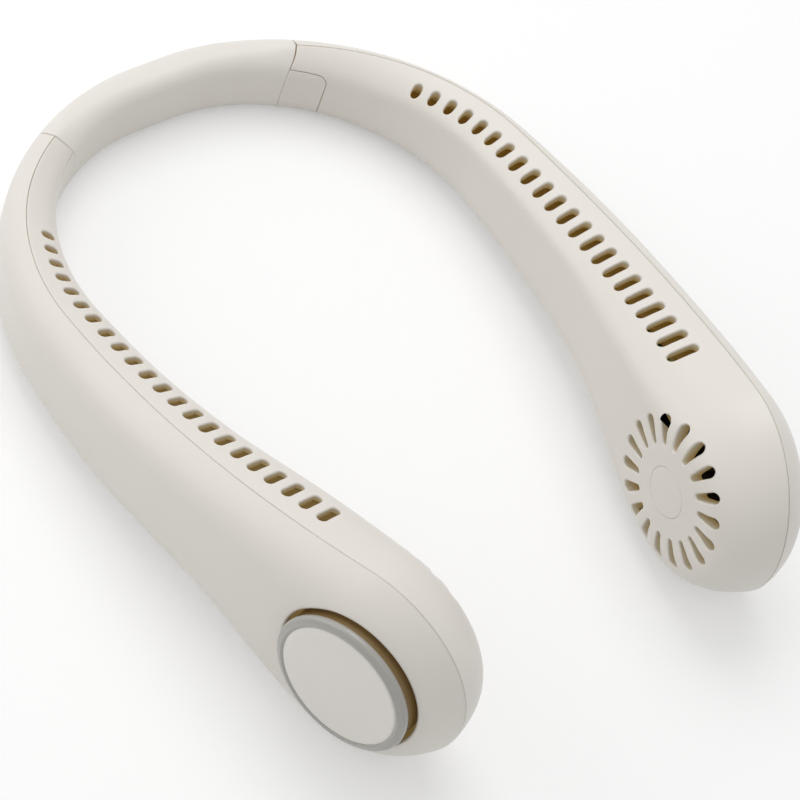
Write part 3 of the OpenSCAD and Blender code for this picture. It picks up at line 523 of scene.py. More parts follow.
@dataclass
class MouldedWall:
    """A wall of moulded plastic on a skin, with rounded edges round it and round its openings."""

    skin: Skin
    outer: Edge
    openings: list[Edge] = field(default_factory=list)
    thickness: float | None = None
    step: float = 1.4
    lip_steps: int = 3
    clear_share: float = 0.62
    weld: float = 1e-7
    near_edge: float = 0.98

    @property
    def wall(self) -> float:
        """Thickness of the wall."""
        return self.thickness or self.skin.form.wall

    def build(self) -> "MeshPlan":
        """Plans the mesh of the whole wall: outside, lips, cut walls and inside."""
        edges = [self.outer, *self.openings]
        loops = [edge.rim(edge.lip) for edge in edges]
        flats, faces = self._fill(loops)
        plan = MeshPlan()
        places = [self.skin.place(*p) for p in flats]
        normals = [self.skin.normal(*p) for p in flats]
        for point, normal in zip(places, normals):
            plan.vertex(point, normal, 0.0)
        under = [plan.vertex(p - n * self.wall, -n, 1.0) for p, n in zip(places, normals)]
        for face in faces:
            plan.face(face, 0)
            plan.face([under[i] for i in reversed(face)], 1)
        first = 0
        for edge, loop in zip(edges, loops):
            ring = list(range(first, first + len(loop)))
            self._edge(plan, edge, ring, [under[i] for i in ring])
            first += len(loop)
        return plan

    def _fill(self, loops: list[list[Flat]]) -> tuple[list[Flat], list[list[int]]]:
        """Fills the flat layout between the loops with even triangles."""
        marks = [(point, number) for number, loop in enumerate(loops) for point in loop]
        tree = KDTree(len(marks))
        for i, (point, _) in enumerate(marks):
            tree.insert((*point, 0.0), i)
        tree.balance()
        points = [Vector(point) for point, _ in marks]
        low = Vector((min(p.x for p in points), min(p.y for p in points)))
        high = Vector((max(p.x for p in points), max(p.y for p in points)))
        rise = self.step * math.sqrt(3) / 2
        grid = []
        for row in range(int((high.y - low.y) / rise) + 1):
            for column in range(int((high.x - low.x) / self.step) + 1):
                spot = Vector((low.x + (column + row % 2 / 2) * self.step, low.y + row * rise))
                _, index, distance = tree.find((*spot, 0.0))
                number = marks[index][1]
                too_near = distance < self.step * self.clear_share
                if too_near or number and inside(spot, loops[number]):
                    continue
                grid.append(spot)
        edges, start = [], 0
        for loop in loops:
            edges += [(start + i, start + (i + 1) % len(loop)) for i in range(len(loop))]
            start += len(loop)
        boundary = list(range(len(loops[0])))
        found = delaunay_2d_cdt(points + grid, edges[len(loops[0]):], [boundary], 1, self.weld)
        owner = [marks[i][1] if i < len(marks) else -1 for i in range(len(points) + len(grid))]
        triangles = []
        for face in found[2]:
            source = [found[3][i][0] for i in face]
            owners = {owner[i] for i in source}
            if len(owners) == 1 and owners.pop() > 0:
                continue
            triangles.append(source)
        used = sorted({i for face in triangles for i in face} | set(range(len(points))))
        renumber = {old: new for new, old in enumerate(used)}
        spots = points + grid
        return [tuple(spots[i]) for i in used], [[renumber[i] for i in face] for face in triangles]

    def _edge(self, plan: "MeshPlan", edge: Edge, ring: list[int], under: list[int]) -> None:
        """Rounds one edge and takes its cut wall down to the inside, or further as a collar."""
        bare = edge.rim(0.0)
        places = [self.skin.place(*p) for p in bare]
        ways = [edge.into or self._inwards(p) for p in bare]
        last, total = ring, len(ring)
        outs = [(places[i] - plan.points[ring[i]]).normalized() for i in range(total)]
        for turn in self._turns():
            drop = edge.lip * (1 - math.cos(turn))
            row = []
            for i, p in enumerate(edge.rim(edge.lip * (1 - math.sin(turn)))):
                lean = -ways[i] * math.cos(turn) + outs[i] * math.sin(turn)
                row.append(plan.vertex(self.skin.place(*p) + ways[i] * drop, lean, 0.0))
            plan.strip(last, row, 0)
            last = row
        deep = max(edge.collar, self.wall)
        low = [plan.vertex(places[i] + ways[i] * deep, outs[i], 1.0) for i in range(total)]
        plan.strip(last, low, 1)
        plan.strip(low, under, 1)

    def _turns(self) -> list[float]:
        """Turns of the lip's rows, from the skin to the cut wall."""
        return [math.pi / 2 * (k + 1) / self.lip_steps for k in range(self.lip_steps)]

    def _inwards(self, flat: Flat) -> Vector:
        """Way into the material at an outer edge, square to the path's own outward way."""
        normal = self.skin.normal(*flat)
        section, past = self.skin.half(*flat)
        if past < section.span * self.near_edge:
            return -normal
        turn = self.skin.form.path.heading(flat[0])
        across = Vector((math.sin(turn), math.cos(turn), 0.0))
        return -(normal - across * normal.dot(across)).normalized()


def inside(spot: Vector, loop: Sequence[Flat]) -> bool:
    """Whether a flat point lies inside a loop with no hollows."""
    signs = set()
    for p, q in zip(loop, [*loop[1:], loop[0]]):
        signs.add((q[0] - p[0]) * (spot.y - p[1]) > (q[1] - p[1]) * (spot.x - p[0]))
    return len(signs) == 1


class MeshPlan:
    """Points, faces and outward directions of a mesh, before it is made in Blender."""

    def __init__(self) -> None:
        """Starts empty."""
        self.points: list[Vector] = []
        self.normals: list[Vector] = []
        self.depths: list[float] = []
        self.faces: list[tuple[list[int], int]] = []

    def vertex(self, point: Vector, normal: Vector, depth: float) -> int:
        """Adds a point in millimetres and returns its number."""
        self.points.append(point)
        self.normals.append(normal.normalized())
        self.depths.append(depth)
        return len(self.points) - 1

    def face(self, corners: Sequence[int], finish: int) -> None:
        """Adds a face with the number of its finish."""
        self.faces.append((list(corners), finish))

    def strip(self, one: Sequence[int], two: Sequence[int], finish: int) -> None:
        """Joins two closed rows of equal length with a band of faces."""
        for i in range(len(one)):
            j = (i + 1) % len(one)
            self.face([one[i], one[j], two[j], two[i]], finish)

    def make(self, name: str, hand: Hand,
             finishes: Sequence[bpy.types.Material]) -> bpy.types.Object:
        """Makes the mesh.

        Args:
            name: Name of the piece.
            hand: The arm it belongs to; the left one is mirrored.
            finishes: Materials, in the order of the faces' numbers.

        Returns:
            The new object, at the origin, in metres.
        """
        flip = Vector((hand.value, 1, 1))
        mesh = bpy.data.meshes.new(name)
        mesh.from_pydata([p * flip * MM for p in self.points], [], [c for c, _ in self.faces])
        for material in finishes:
            mesh.materials.append(material)
        mesh.polygons.foreach_set("material_index", [finish for _, finish in self.faces])
        # Depth into the wall, zero on the outside and one on the inside: the mask of the painted
        # shade and painted glow of the inside finish.
        depth = mesh.attributes.new("depth", "FLOAT", "POINT")
        depth.data.foreach_set("value", self.depths)
        piece = bpy.data.objects.new(name, mesh)
        bpy.context.scene.collection.objects.link(piece)
        select_only(piece)
        bpy.ops.object.mode_set(mode="EDIT")
        bpy.ops.mesh.select_all(action="SELECT")
        bpy.ops.mesh.normals_make_consistent(inside=False)
        bpy.ops.object.mode_set(mode="OBJECT")
        mesh.polygons.foreach_set("use_smooth", [True] * len(mesh.polygons))
        mesh.normals_split_custom_set_from_vertices([n * flip for n in self.normals])
        mesh.update()
        return piece


def select_only(piece: bpy.types.Object) -> None:
    """Selects one object and nothing else, and makes it the active one."""
    if bpy.context.object and bpy.context.object.mode != "OBJECT":
        bpy.ops.object.mode_set(mode="OBJECT")
    bpy.ops.object.select_all(action="DESELECT")
    bpy.context.view_layer.objects.active = piece
    piece.select_set(True)


# Finishes


def add(tree: bpy.types.NodeTree, kind: str,
        values: dict[str | int, Any] | None = None) -> bpy.types.Node:
    """Adds a node to a tree, with some input values."""
    node = tree.nodes.new(kind)
    for socket, value in (values or {}).items():
        node.inputs[socket].default_value = value
    return node


def join(tree: bpy.types.NodeTree, *wires: tuple[Any, str | int, Any, str | int]) -> None:
    """Links nodes: each wire is a node, its output, another node and its input."""
    for one, output, two, socket in wires:
        tree.links.new(one.outputs[output], two.inputs[socket])


def shared_group(name: str, inputs: dict[str, float], outputs: Sequence[str]) -> bpy.types.NodeTree:
    """Empty shader node group with named number sockets.

    Args:
        name: Name of the group.
        inputs: Names and default values of its inputs.
        outputs: Names of its outputs.

    Returns:
        The group, with its input and output nodes in place.
    """
    tree = bpy.data.node_groups.new(name, "ShaderNodeTree")
    kind = "NodeSocketFloat"
    for socket, value in inputs.items():
        made = tree.interface.new_socket(name=socket, in_out="INPUT", socket_type=kind)
        made.default_value = value
    for socket in outputs:
        tree.interface.new_socket(name=socket, in_out="OUTPUT", socket_type=kind)
    tree.nodes.new("NodeGroupInput").name = "in"
    tree.nodes.new("NodeGroupOutput").name = "out"
    return tree


@cache
def moulded_grain() -> bpy.types.NodeTree:
    """Group for the fine texture that a mould leaves: a height and a roughness."""
    tree = shared_group("moulded_grain", {"Scale": 900.0, "Rough low": 0.3, "Rough high": 0.36},
                        ("Height", "Roughness"))
    start, end = tree.nodes["in"], tree.nodes["out"]
    place = add(tree, "ShaderNodeTexCoord")
    fine = add(tree, "ShaderNodeTexNoise", {"Detail": 3.0})
    broad = add(tree, "ShaderNodeTexNoise", {"Scale": 46.0})
    spread = add(tree, "ShaderNodeMapRange", {"From Min": 0.3, "From Max": 0.7})
    join(tree, (place, "Object", fine, "Vector"), (place, "Object", broad, "Vector"),
         (start, "Scale", fine, "Scale"), (start, "Rough low", spread, "To Min"),
         (start, "Rough high", spread, "To Max"), (broad, "Fac", spread, "Value"),
         (fine, "Fac", end, "Height"), (spread, "Result", end, "Roughness"))
    return tree


@cache
def tone_drift() -> bpy.types.NodeTree:
    """Group for a faint, broad change of tone over a piece: a mask from zero to one."""
    tree = shared_group("tone_drift", {"Scale": 14.0}, ("Mask",))
    place = add(tree, "ShaderNodeTexCoord")
    cloud = add(tree, "ShaderNodeTexNoise", {"Detail": 2.0})
    spread = add(tree, "ShaderNodeMapRange", {"From Min": 0.35, "From Max": 0.65})
    join(tree, (place, "Object", cloud, "Vector"), (tree.nodes["in"], "Scale", cloud, "Scale"),
         (cloud, "Fac", spread, "Value"), (spread, "Result", tree.nodes["out"], "Mask"))
    return tree


@dataclass(frozen=True)
class Finish:
    """One finish: a colour that drifts a little, a fine grain and a gloss."""

    name: str
    colour: tuple[float, float, float]
    drift: tuple[float, float, float]
    rough: tuple[float, float] = (0.34, 0.4)
    metallic: float = 0.0
    grain_scale: float = 900.0
    grain_depth: float = 0.02
    grain_height: float = 0.0002
    drift_scale: float = 14.0
    coat: float = 0.0
    # The deep colour is the golden brown reached deep in a cut wall and on the inside: painted
    # shade and painted warm light of the recesses. The glow is the strength of a painted glow of
    # that colour, though no lamp is there.
    deep: tuple[float, float, float] | None = None
    glow: float = 0.0

    @cache
    def make(self) -> bpy.types.Material:
        """Makes the material at the first call."""
        material = bpy.data.materials.new(f"{self.name}_finish")
        material.use_nodes = True
        tree = material.node_tree
        shader = tree.nodes["Principled BSDF"]
        shader.inputs["Metallic"].default_value = self.metallic
        shader.inputs["Coat Weight"].default_value = self.coat
        grain, drift = add(tree, "ShaderNodeGroup"), add(tree, "ShaderNodeGroup")
        grain.node_tree, drift.node_tree = moulded_grain(), tone_drift()
        grain.inputs["Scale"].default_value = self.grain_scale
        grain.inputs["Rough low"].default_value = self.rough[0]
        grain.inputs["Rough high"].default_value = self.rough[1]
        drift.inputs["Scale"].default_value = self.drift_scale
        blend = self._blend(tree)
        blend.inputs["A"].default_value = (*self.colour, 1.0)
        blend.inputs["B"].default_value = (*self.drift, 1.0)
        bump = add(tree, "ShaderNodeBump",
                   {"Strength": self.grain_depth, "Distance": self.grain_height})
        join(tree, (drift, "Mask", blend, "Factor"), (grain, "Height", bump, "Height"),
             (grain, "Roughness", shader, "Roughness"), (bump, "Normal", shader, "Normal"))
        # Painted shade and painted glow, growing with the depth into the cut walls.
        if self.deep:
            blend = self._paint_depth_shade_and_glow(tree, blend, shader)
        join(tree, (blend, "Result", shader, "Base Color"))
        return material

    def _blend(self, tree: bpy.types.NodeTree) -> bpy.types.Node:
        """Adds a node that mixes two colours."""
        node = tree.nodes.new("ShaderNodeMix")
        node.data_type = "RGBA"
        return node

    def _paint_depth_shade_and_glow(self, tree: bpy.types.NodeTree, blend: bpy.types.Node,
                shader: bpy.types.Node) -> bpy.types.Node:
        """Paints shade and a faint glow in with the depth of a cut wall: the colour turns to the
        deep golden brown, and the wall gives off that colour though no lamp is there.

        Args:
            tree: Node tree of the material.
            blend: Node that gives the colour of the outside.
            shader: Shader of the material.

        Returns:
            The node that gives the colour at any depth.
        """
        reach = add(tree, "ShaderNodeAttribute")
        reach.attribute_name = "depth"
        depth_shaded = self._blend(tree)
        depth_shaded.inputs["B"].default_value = (*self.deep, 1.0)
        # Painted glow: the further into the wall, the more it gives off the golden brown.
        light = add(tree, "ShaderNodeMath", {1: self.glow})
        light.operation = "MULTIPLY"
        join(tree, (reach, "Fac", depth_shaded, "Factor"), (blend, "Result", depth_shaded, "A"),
             (reach, "Fac", light, 0), (light, 0, shader, "Emission Strength"))
        shader.inputs["Emission Color"].default_value = (*self.deep, 1.0)
        return depth_shaded


IVORY = Finish("ivory_plastic", (0.83, 0.792, 0.732), (0.815, 0.778, 0.719))
# Inside of the shells and their cut walls: warmer and darker than the ivory, then golden brown and
# glowing with depth, as painted shade and painted warm light.
INSIDE_SHADE_AND_GLOW = Finish("inside_painted_shade_and_glow", (0.78, 0.73, 0.62), (0.76, 0.71, 0.60), rough=(0.45, 0.5),
                deep=(0.52, 0.38, 0.15), glow=0.17)
BAND = Finish("band_soft", (0.845, 0.81, 0.755), (0.83, 0.796, 0.742), rough=(0.42, 0.48),
              grain_depth=0.03)
CAP = Finish("cap_plastic", (0.87, 0.84, 0.785), (0.86, 0.83, 0.775), rough=(0.4, 0.46))
RING = Finish("ring_plastic", (0.42, 0.408, 0.375), (0.40, 0.388, 0.355), rough=(0.2, 0.26),
              coat=0.35)
# Foot of the ring, dark brown: painted shade in the gap between the ring and the shell's opening,
# tinted by the golden walls round it.
RING_FOOT_SHADE = Finish("ring_foot_painted_shade", (0.24, 0.15, 0.055), (0.22, 0.14, 0.05), rough=(0.4, 0.5))
# Golden brown of the duct floor under the slots: partly painted warm light, the glow that comes
# through the translucent shell.
GOLD_BROWN = Finish("floor_painted_warm_light", (0.58, 0.41, 0.12), (0.55, 0.39, 0.11), rough=(0.5, 0.55))
FAN_BLACK = Finish("fan_black", (0.012, 0.010, 0.008), (0.016, 0.013, 0.010), rough=(0.4, 0.5))
BLACK = Finish("black_plastic", (0.02, 0.02, 0.02), (0.025, 0.025, 0.025), rough=(0.4, 0.5))
GREY = Finish("grey_plastic", (0.12, 0.12, 0.12), (0.14, 0.14, 0.14), rough=(0.4, 0.5))
STEEL = Finish("bright_steel", (0.62, 0.63, 0.65), (0.55, 0.56, 0.58), rough=(0.22, 0.34),
               metallic=1.0, grain_scale=400.0, grain_depth=0.05)
LAMINATED = Finish("laminated_steel", (0.35, 0.36, 0.38), (0.28, 0.29, 0.30), rough=(0.35, 0.5),
                   metallic=1.0, grain_scale=2400.0, grain_depth=0.2)
MAGNET = Finish("magnet_grey", (0.10, 0.10, 0.11), (0.13, 0.13, 0.14), rough=(0.5, 0.6),
                metallic=0.4)
BRONZE = Finish("bronze", (0.55, 0.33, 0.13), (0.48, 0.28, 0.10), rough=(0.3, 0.42), metallic=1.0)
COPPER = Finish("copper_wire", (0.62, 0.26, 0.10), (0.50, 0.19, 0.07), rough=(0.25, 0.35),
                metallic=0.9, grain_scale=1800.0, grain_depth=0.3)
BOARD = Finish("circuit_board", (0.02, 0.12, 0.05), (0.025, 0.16, 0.06), rough=(0.3, 0.4))
CELL = Finish("cell_wrap", (0.45, 0.47, 0.50), (0.40, 0.42, 0.45), rough=(0.25, 0.35), metallic=0.5)

NODE_FINISHES = {
    "band_spine": STEEL, "band_cable": BLACK, "band_end": GREY, "hinge_pin": STEEL,
    "hinge_tongue": GREY, "hinge_screw": STEEL, "impeller": FAN_BLACK, "rotor_cup": STEEL,
    "magnet_ring": MAGNET, "motor_shaft": STEEL, "motor_bearing": BRONZE,
    "stator_core": LAMINATED, "stator_coils": COPPER, "motor_board": BOARD,
    "motor_mount": GREY, "motor_screws": STEEL, "cap_seat": GREY, "light_board": BOARD,
    "power_switch": BLACK, "arm_cell": CELL, "duct_floor": GOLD_BROWN, "arm_cable": BLACK,
    "main_board": BOARD, "usb_socket": STEEL,
}


# Arms


@dataclass
class ArmShells:
    """Outer shell, inner shell, joint cover and vent badge of both arms."""

    form: ArmForm
    slot_count: int = 22
    slot_start: float = 73.5
    slot_pitch: float = 5.47
    slot_w: float = 2.6
    slot_outer: tuple[float, float] = (3.8, 5.1)
    slot_inner: tuple[float, float] = (7.4, 12.8)
    vent_count: int = 18
    vent_in_r: float = 12.1
    vent_rim: float = 8.6
    vent_wide: float = 2.9
    vent_narrow: float = 1.5
    badge_r: float = 6.5
    badge_t: float = 1.0
    badge_gap: float = 0.06
    badge_lip: float = 0.12
    hole_rim: float = 8.8
    hinge_u: float = 29.2
    knuckle_reach: float = 9.6
    cover_u: float = 48.3
    cover_corner: float = 2.6
    cover_top_drop: float = 3.4
    cover_gap: float = 0.15
    edge_step: float = 1.5
    tip_steps: int = 60
    hole_steps: int = 120
    badge_steps: int = 60
    end_steps: int = 8
    corner_steps: int = 6
    slot_side_steps: int = 3
    vent_side_steps: int = 4
    start_tries: int = 5
    seam_lip: float = 0.2
    cover_lip: float = 0.14
    slot_lip: float = 0.55
    vent_lip: float = 0.5
    hole_lip: float = 0.7
    slot_collar: float = 2.5
    vent_collar: float = 3.3

    def build(self) -> None:
        """Makes the shells, covers and badges of both arms."""
        plans = {
            "outer_shell": self._outer().build(),
            "inner_shell": self._inner().build(),
            "joint_cover": self._cover().build(),
            "vent_badge": self._badge().build(),
        }
        for hand in Hand:
            for part, plan in plans.items():
                node = f"{hand.word}_{part}"
                piece = plan.make(f"{node}_skin", hand, [IVORY.make(), INSIDE_SHADE_AND_GLOW.make()])
                settle(piece, f"{hand.word}_arm", IVORY.name, node)

    def _start(self, skin: Skin, b: float) -> float:
        """Path length at which a shell begins, against the band's round end."""
        a = self.hinge_u + self.knuckle_reach
        for _ in range(self.start_tries):
            section, past = skin.half(a, b)
            w = section.across(max(0.0, 1 - max(past, 0.0) / section.span))
            a = self.hinge_u + math.sqrt(max(0.0, self.knuckle_reach ** 2 - w * w))
        return a

    def _band_side(self, skin: Skin, first: float, last: float) -> list[Flat]:
        """Edge against the band's round end, between two heights and without its ends."""
        count = int(abs(last - first) / self.edge_step)
        heights = [mix(first, last, i / count) for i in range(1, count)]
        return [(self._start(skin, b), b) for b in heights]

    def _around(self, skin: Skin, low_u: float) -> list[Flat]:
        """Edge along the top, the tip and the bottom, back to a path length."""
        first = self.hinge_u + self.knuckle_reach
        head_u = self.form.head_u
        count = int((head_u - first) / self.edge_step)
        line = [skin.edge(mix(first, head_u, i / count), True) for i in range(count)]
        arc = [skin.tip_edge(turn) for turn in half_turn(self.tip_steps)]
        back = int((head_u - low_u) / self.edge_step)
        under = [skin.edge(mix(head_u, low_u, i / back), False) for i in range(1, back + 1)]
        return line + arc + under

    def _outer(self) -> MouldedWall:
        """Outer shell, with the round opening for the cap."""
        skin = Skin(self.form, Side.OUTER)
        line = self._around(skin, self.hinge_u + self.knuckle_reach)
        line += self._band_side(skin, line[-1][1], line[0][1])

        def hole(distance: float) -> list[Flat]:
            """Edge of the cap's opening."""
            reach = self.form.head_r - self.hole_rim + distance
            return self._circle(skin, reach, self.form.outer_depth[-1], self.hole_steps)
        return MouldedWall(skin, Edge(pulled_in(line), self.seam_lip),
                           [Edge(hole, self.hole_lip, -self._outwards())])

    def _outwards(self) -> Vector:
        """Way of the right fan's axis, out of the head."""
        return self.form.to_head().to_3x3() @ Vector((0, 0, 1))

    def _circle(self, skin: Skin, reach: float, height: float, count: int) -> list[Flat]:
        """Circle round the fan axis, on a face at a height along it.

        Args:
            skin: The skin that it lies on.
            reach: Its radius.
            height: Height of the face over the fan axis's origin.
            count: Number of its points.

        Returns:
            Its flat points.
        """
        turns = [math.tau * i / count for i in range(count)]
        spots = [(reach * math.cos(turn), reach * math.sin(turn)) for turn in turns]
        return [skin.seen(*self.form.beside_fan(*spot, height)) for spot in spots]

    def _inner(self) -> MouldedWall:
        """Inner shell, with outlet slots, inlet slots, the badge's seat and the cover's notch."""
        skin = Skin(self.form, Side.INNER)
        line = self._around(skin, self.cover_u + self.cover_gap)
        line += self._cover_line(skin, self.cover_gap)
        line += self._band_side(skin, line[-1][1], line[0][1])
        down = Vector((0, 0, -1))
        openings = [Edge(self._slot(skin, i), self.slot_lip, down, self.slot_collar)
                    for i in range(self.slot_count)]
        openings += [Edge(self._vent(skin, i), self.vent_lip, self._outwards(), self.vent_collar)
                     for i in range(self.vent_count)]
        openings.append(self._badge_edge(skin, self.badge_r + self.badge_gap, 1.0))
        return MouldedWall(skin, Edge(pulled_in(line), self.seam_lip), openings)

    def _badge(self) -> MouldedWall:
        """Plain disc in the middle of the vent, flush with its face."""
        skin = Skin(self.form, Side.INNER)
        return MouldedWall(skin, self._badge_edge(skin, self.badge_r, -1.0), [], self.badge_t)

    def _badge_edge(self, skin: Skin, reach: float, way: float) -> Edge:
        """Round edge on the vent's face, whose lip goes outwards or, with a way of -1, inwards."""
        def rim(distance: float) -> list[Flat]:
            """The edge, moved."""
            height = -self.form.vent_face
            return self._circle(skin, reach + way * distance, height, self.badge_steps)
        return Edge(rim, self.badge_lip, self._outwards())

    def _slot(self, skin: Skin, number: int) -> Rim:
        """Rim of one outlet slot on the shoulder."""
        share = number / (self.slot_count - 1)
        u = self.slot_start + number * self.slot_pitch
        radius = self.slot_w / 2
        near = mix(*self.slot_outer, share) + radius
        far = mix(*self.slot_inner, share) - radius

        def rim(distance: float) -> list[Flat]:
            """The slot's edge, moved out."""
            r = radius + distance
            arc = [(r * math.cos(t), r * math.sin(t)) for t in half_turn(self.end_steps)]
            far_end = [(u + x, far + y) for x, y in arc]
            near_end = [(u - x, near - y) for x, y in arc]
            loop = with_sides(far_end, near_end, self.slot_side_steps)
            return [skin.over_shoulder(*p) for p in loop]
        return rim

    def _vent(self, skin: Skin, number: int) -> Rim:
        """Rim of one inlet slot round the fan axis."""
        turn = math.tau * (number + 0.5) / self.vent_count
        wide, narrow = self.vent_wide / 2, self.vent_narrow / 2
        far = self.form.head_r - self.vent_rim - wide
        near = self.vent_in_r + narrow

        def rim(distance: float) -> list[Flat]:
            """The vent's edge, moved out."""
            r, q = wide + distance, narrow + distance
            arc = [(math.sin(t), math.cos(t)) for t in half_turn(self.end_steps)]
            far_end = [(far + r * x, -r * y) for x, y in arc]
            near_end = [(near - q * x, q * y) for x, y in arc]
            points = []
            for x, y in with_sides(far_end, near_end, self.vent_side_steps):
                along_x = x * math.cos(turn) - y * math.sin(turn)
                up = x * math.sin(turn) + y * math.cos(turn)
                points.append(skin.seen(*self.form.beside_fan(along_x, up, -self.form.vent_face)))
            return points
        return rim

    def _cover_line(self, skin: Skin, gap: float) -> list[Flat]:
        """Edge round the joint cover, from the bottom edge up, round its corner and to the band."""
        form = self.form
        u, r = self.cover_u + gap, self.cover_corner + gap
        top = form.top_line(self.hinge_u / form.head_u) - self.cover_top_drop + gap
        low = skin.edge(u, False)[1]
        high = skin.seen(u, top - r)[1]
        count = max(2, int((high - low) / self.edge_step))
        line = [(u, mix(low, high, i / count)) for i in range(1, count)]
        for i in range(self.corner_steps + 1):
            turn = math.pi / 2 * i / self.corner_steps
            line.append(skin.seen(u - r + r * math.cos(turn), top - r + r * math.sin(turn)))
        end = self._start(skin, skin.seen(self.hinge_u + self.knuckle_reach, top)[1])
        count = max(2, int((u - r - end) / self.edge_step))
        line += [skin.seen(mix(u - r, end, i / count), top) for i in range(1, count + 1)]
        return line

    def _cover(self) -> MouldedWall:
        """Joint cover, in the notch of the inner shell."""
        skin = Skin(self.form, Side.INNER)
        line = self._cover_line(skin, 0.0)
        corner = skin.edge(self.cover_u, False)
        low = skin.edge(self.hinge_u + self.knuckle_reach, False)
        line += self._band_side(skin, line[-1][1], low[1])
        count = int((corner[0] - low[0]) / self.edge_step)
        line += [skin.edge(mix(low[0], corner[0], i / count), False) for i in range(count + 1)]
        return MouldedWall(skin, Edge(pulled_in(line), self.cover_lip))


def half_turn(count: int) -> list[float]:
    """Angles from zero to half a turn."""
    return [math.pi * i / count for i in range(count + 1)]


def with_sides(one: list[Flat], two: list[Flat], count: int) -> list[Flat]:
    """Joins two round ends into one loop, with extra points along the two sides."""
    loop = []
    for end, other in ((one, two), (two, one)):
        loop += end
        a, b = end[-1], other[0]
        loop += [(mix(a[0], b[0], i / count), mix(a[1], b[1], i / count)) for i in range(1, count)]
    return loop


def settle(piece: bpy.types.Object, body: str, slot: str, node: str) -> None:
    """Attaches a finished piece to its body and hides the node that it stands for."""
    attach(piece, body)
    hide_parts(node)
    LOG.info("%s: %d faces", piece.name, len(piece.data.polygons))


# Neck band


@dataclass
class NeckBand:
    """Soft band behind the neck, one smooth piece with a round end in each arm."""

    form: ArmForm
    hinge_u: float = 29.2
    knuckle_r: float = 9.3
    ridge: float = 0.9
    ridge_fade: float = 9.0
    end_lip: float = 0.35
    lip_rows: int = 4
    rows: int = 96
    shares: int = 14

    def build(self) -> None:
        """Makes the sleeve."""
        plan = MeshPlan()
        tops = self._line(True)
        bottoms = self._line(False)
        ring = tops + list(reversed(bottoms))
        lips = [math.pi / 2 * k / self.lip_rows for k in range(self.lip_rows, 0, -1)]
        gaps = [(self.end_lip * (1 - math.sin(t)), self.end_lip * (1 - math.cos(t))) for t in lips]
        steps = [(-1.0, *gap) for gap in gaps]
        steps += [(mix(-1.0, 1.0, i / self.rows), self.end_lip, 0.0) for i in range(self.rows + 1)]
        steps += [(1.0, *gap) for gap in reversed(gaps)]
        rows = []
        for share, gap, drop in steps:
            row = []
            for place in ring:
                point, normal, ahead = self._spot(share, gap, place)
                lean = max(0.0, min(1.0, 1 - gap / self.end_lip))
                point = point - normal * drop
                way = normal * math.cos(math.asin(lean)) + ahead * lean
                row.append(plan.vertex(point, way, 0.0))
            rows.append(row)
        for one, two in zip(rows, rows[1:]):
            plan.strip(one, two, 0)
        half = len(tops)
        for row, way in ((rows[0], -1.0), (rows[-1], 1.0)):
            ends = []
            for i, place in enumerate(ring):
                ahead = self._spot(way, 0.0, place)[2]
                ends.append(plan.vertex(plan.points[row[i]], ahead, 0.0))
            for i in range(half - 1):
                j = len(ring) - 1 - i
                plan.face([ends[i], ends[i + 1], ends[j - 1], ends[j]], 0)
        piece = plan.make("band_sleeve_skin", Hand.RIGHT, [BAND.make()])
        settle(piece, "band", BAND.name, "band_sleeve")

    def _line(self, top: bool) -> list[tuple[Side, bool, float]]:
        """Places round half the section, from the inner face to the outer face."""
        steps = [math.sin(math.pi / 2 * i / self.shares) for i in range(self.shares + 1)]
        inner = [(Side.INNER, top, s) for s in reversed(steps[1:])]
        return inner + [(Side.OUTER, top, s) for s in steps]

    def _spot(self, share: float, gap: float,
              place: tuple[Side, bool, float]) -> tuple[Vector, Vector, Vector]:
        """Point, outward way and way along the band at a place of the section.

        Args:
            share: Share of the way to a round end, negative on the left.
            gap: Distance that the end is drawn back by.
            place: Side, half and share of the section.

        Returns:
            The point, the way out of the skin and the way away from the hinge.
        """
        w = self._local(self.hinge_u, place)[0]
        reach = self.hinge_u + math.sqrt(max(0.0, self.knuckle_r ** 2 - w * w)) - gap
        u = share * reach
        path = self.form.path
        point = self._at(u, place)
        step, turn = 0.05, 0.004
        one = self._at(u + step, place) - self._at(u - step, place)
        side, top, s = place
        around = (side, top, min(1.0, s + turn)), (side, top, max(0.0, s - turn))
        two = self._at(u, around[0]) - self._at(u, around[1])
        normal = one.cross(two).normalized()
        middle = path.place(u, 0.0, self._local(u, place)[2])
        if normal.dot(point - middle) < 0:
            normal = -normal
        hinge = path.place(math.copysign(self.hinge_u, share), 0.0, 0.0)
        ahead = Vector((point.x - hinge.x, point.y - hinge.y, 0.0)).normalized()
        return point, normal, ahead

    def _at(self, u: float, place: tuple[Side, bool, float]) -> Vector:
        """Point of the sleeve at a path length and a place of the section."""
        w, z, _ = self._local(u, place)
        return self.form.path.place(u, w, z)

    def _local(self, u: float, place: tuple[Side, bool, float]) -> tuple[float, float, float]:
        """Distance outwards, height and mid height at a path length and a place of the section."""
        side, top, s = place
        section = HalfSection(self.form, side, abs(u) / self.form.head_u, 0.0, top)
        to_end = self.hinge_u + self.knuckle_r - abs(u)
        fade = max(0.0, min(1.0, to_end / self.ridge_fade))
        ridge = self.ridge * fade * fade * (3 - 2 * fade)
        drop = math.hypot(section.down(s), ridge)
        high = self.form.top_line(section.share)
        low = self.form.bottom_line(section.share)
        z = high - drop if top else max(low + drop, 0.0)
        return side.value * section.across(s), z, (high + low) / 2


# Turned pieces of the heads


@dataclass(frozen=True)
class Corner:
    """A corner of a turned profile, with its rounding."""

    r: float
    z: float
    rounding: float = 0.0


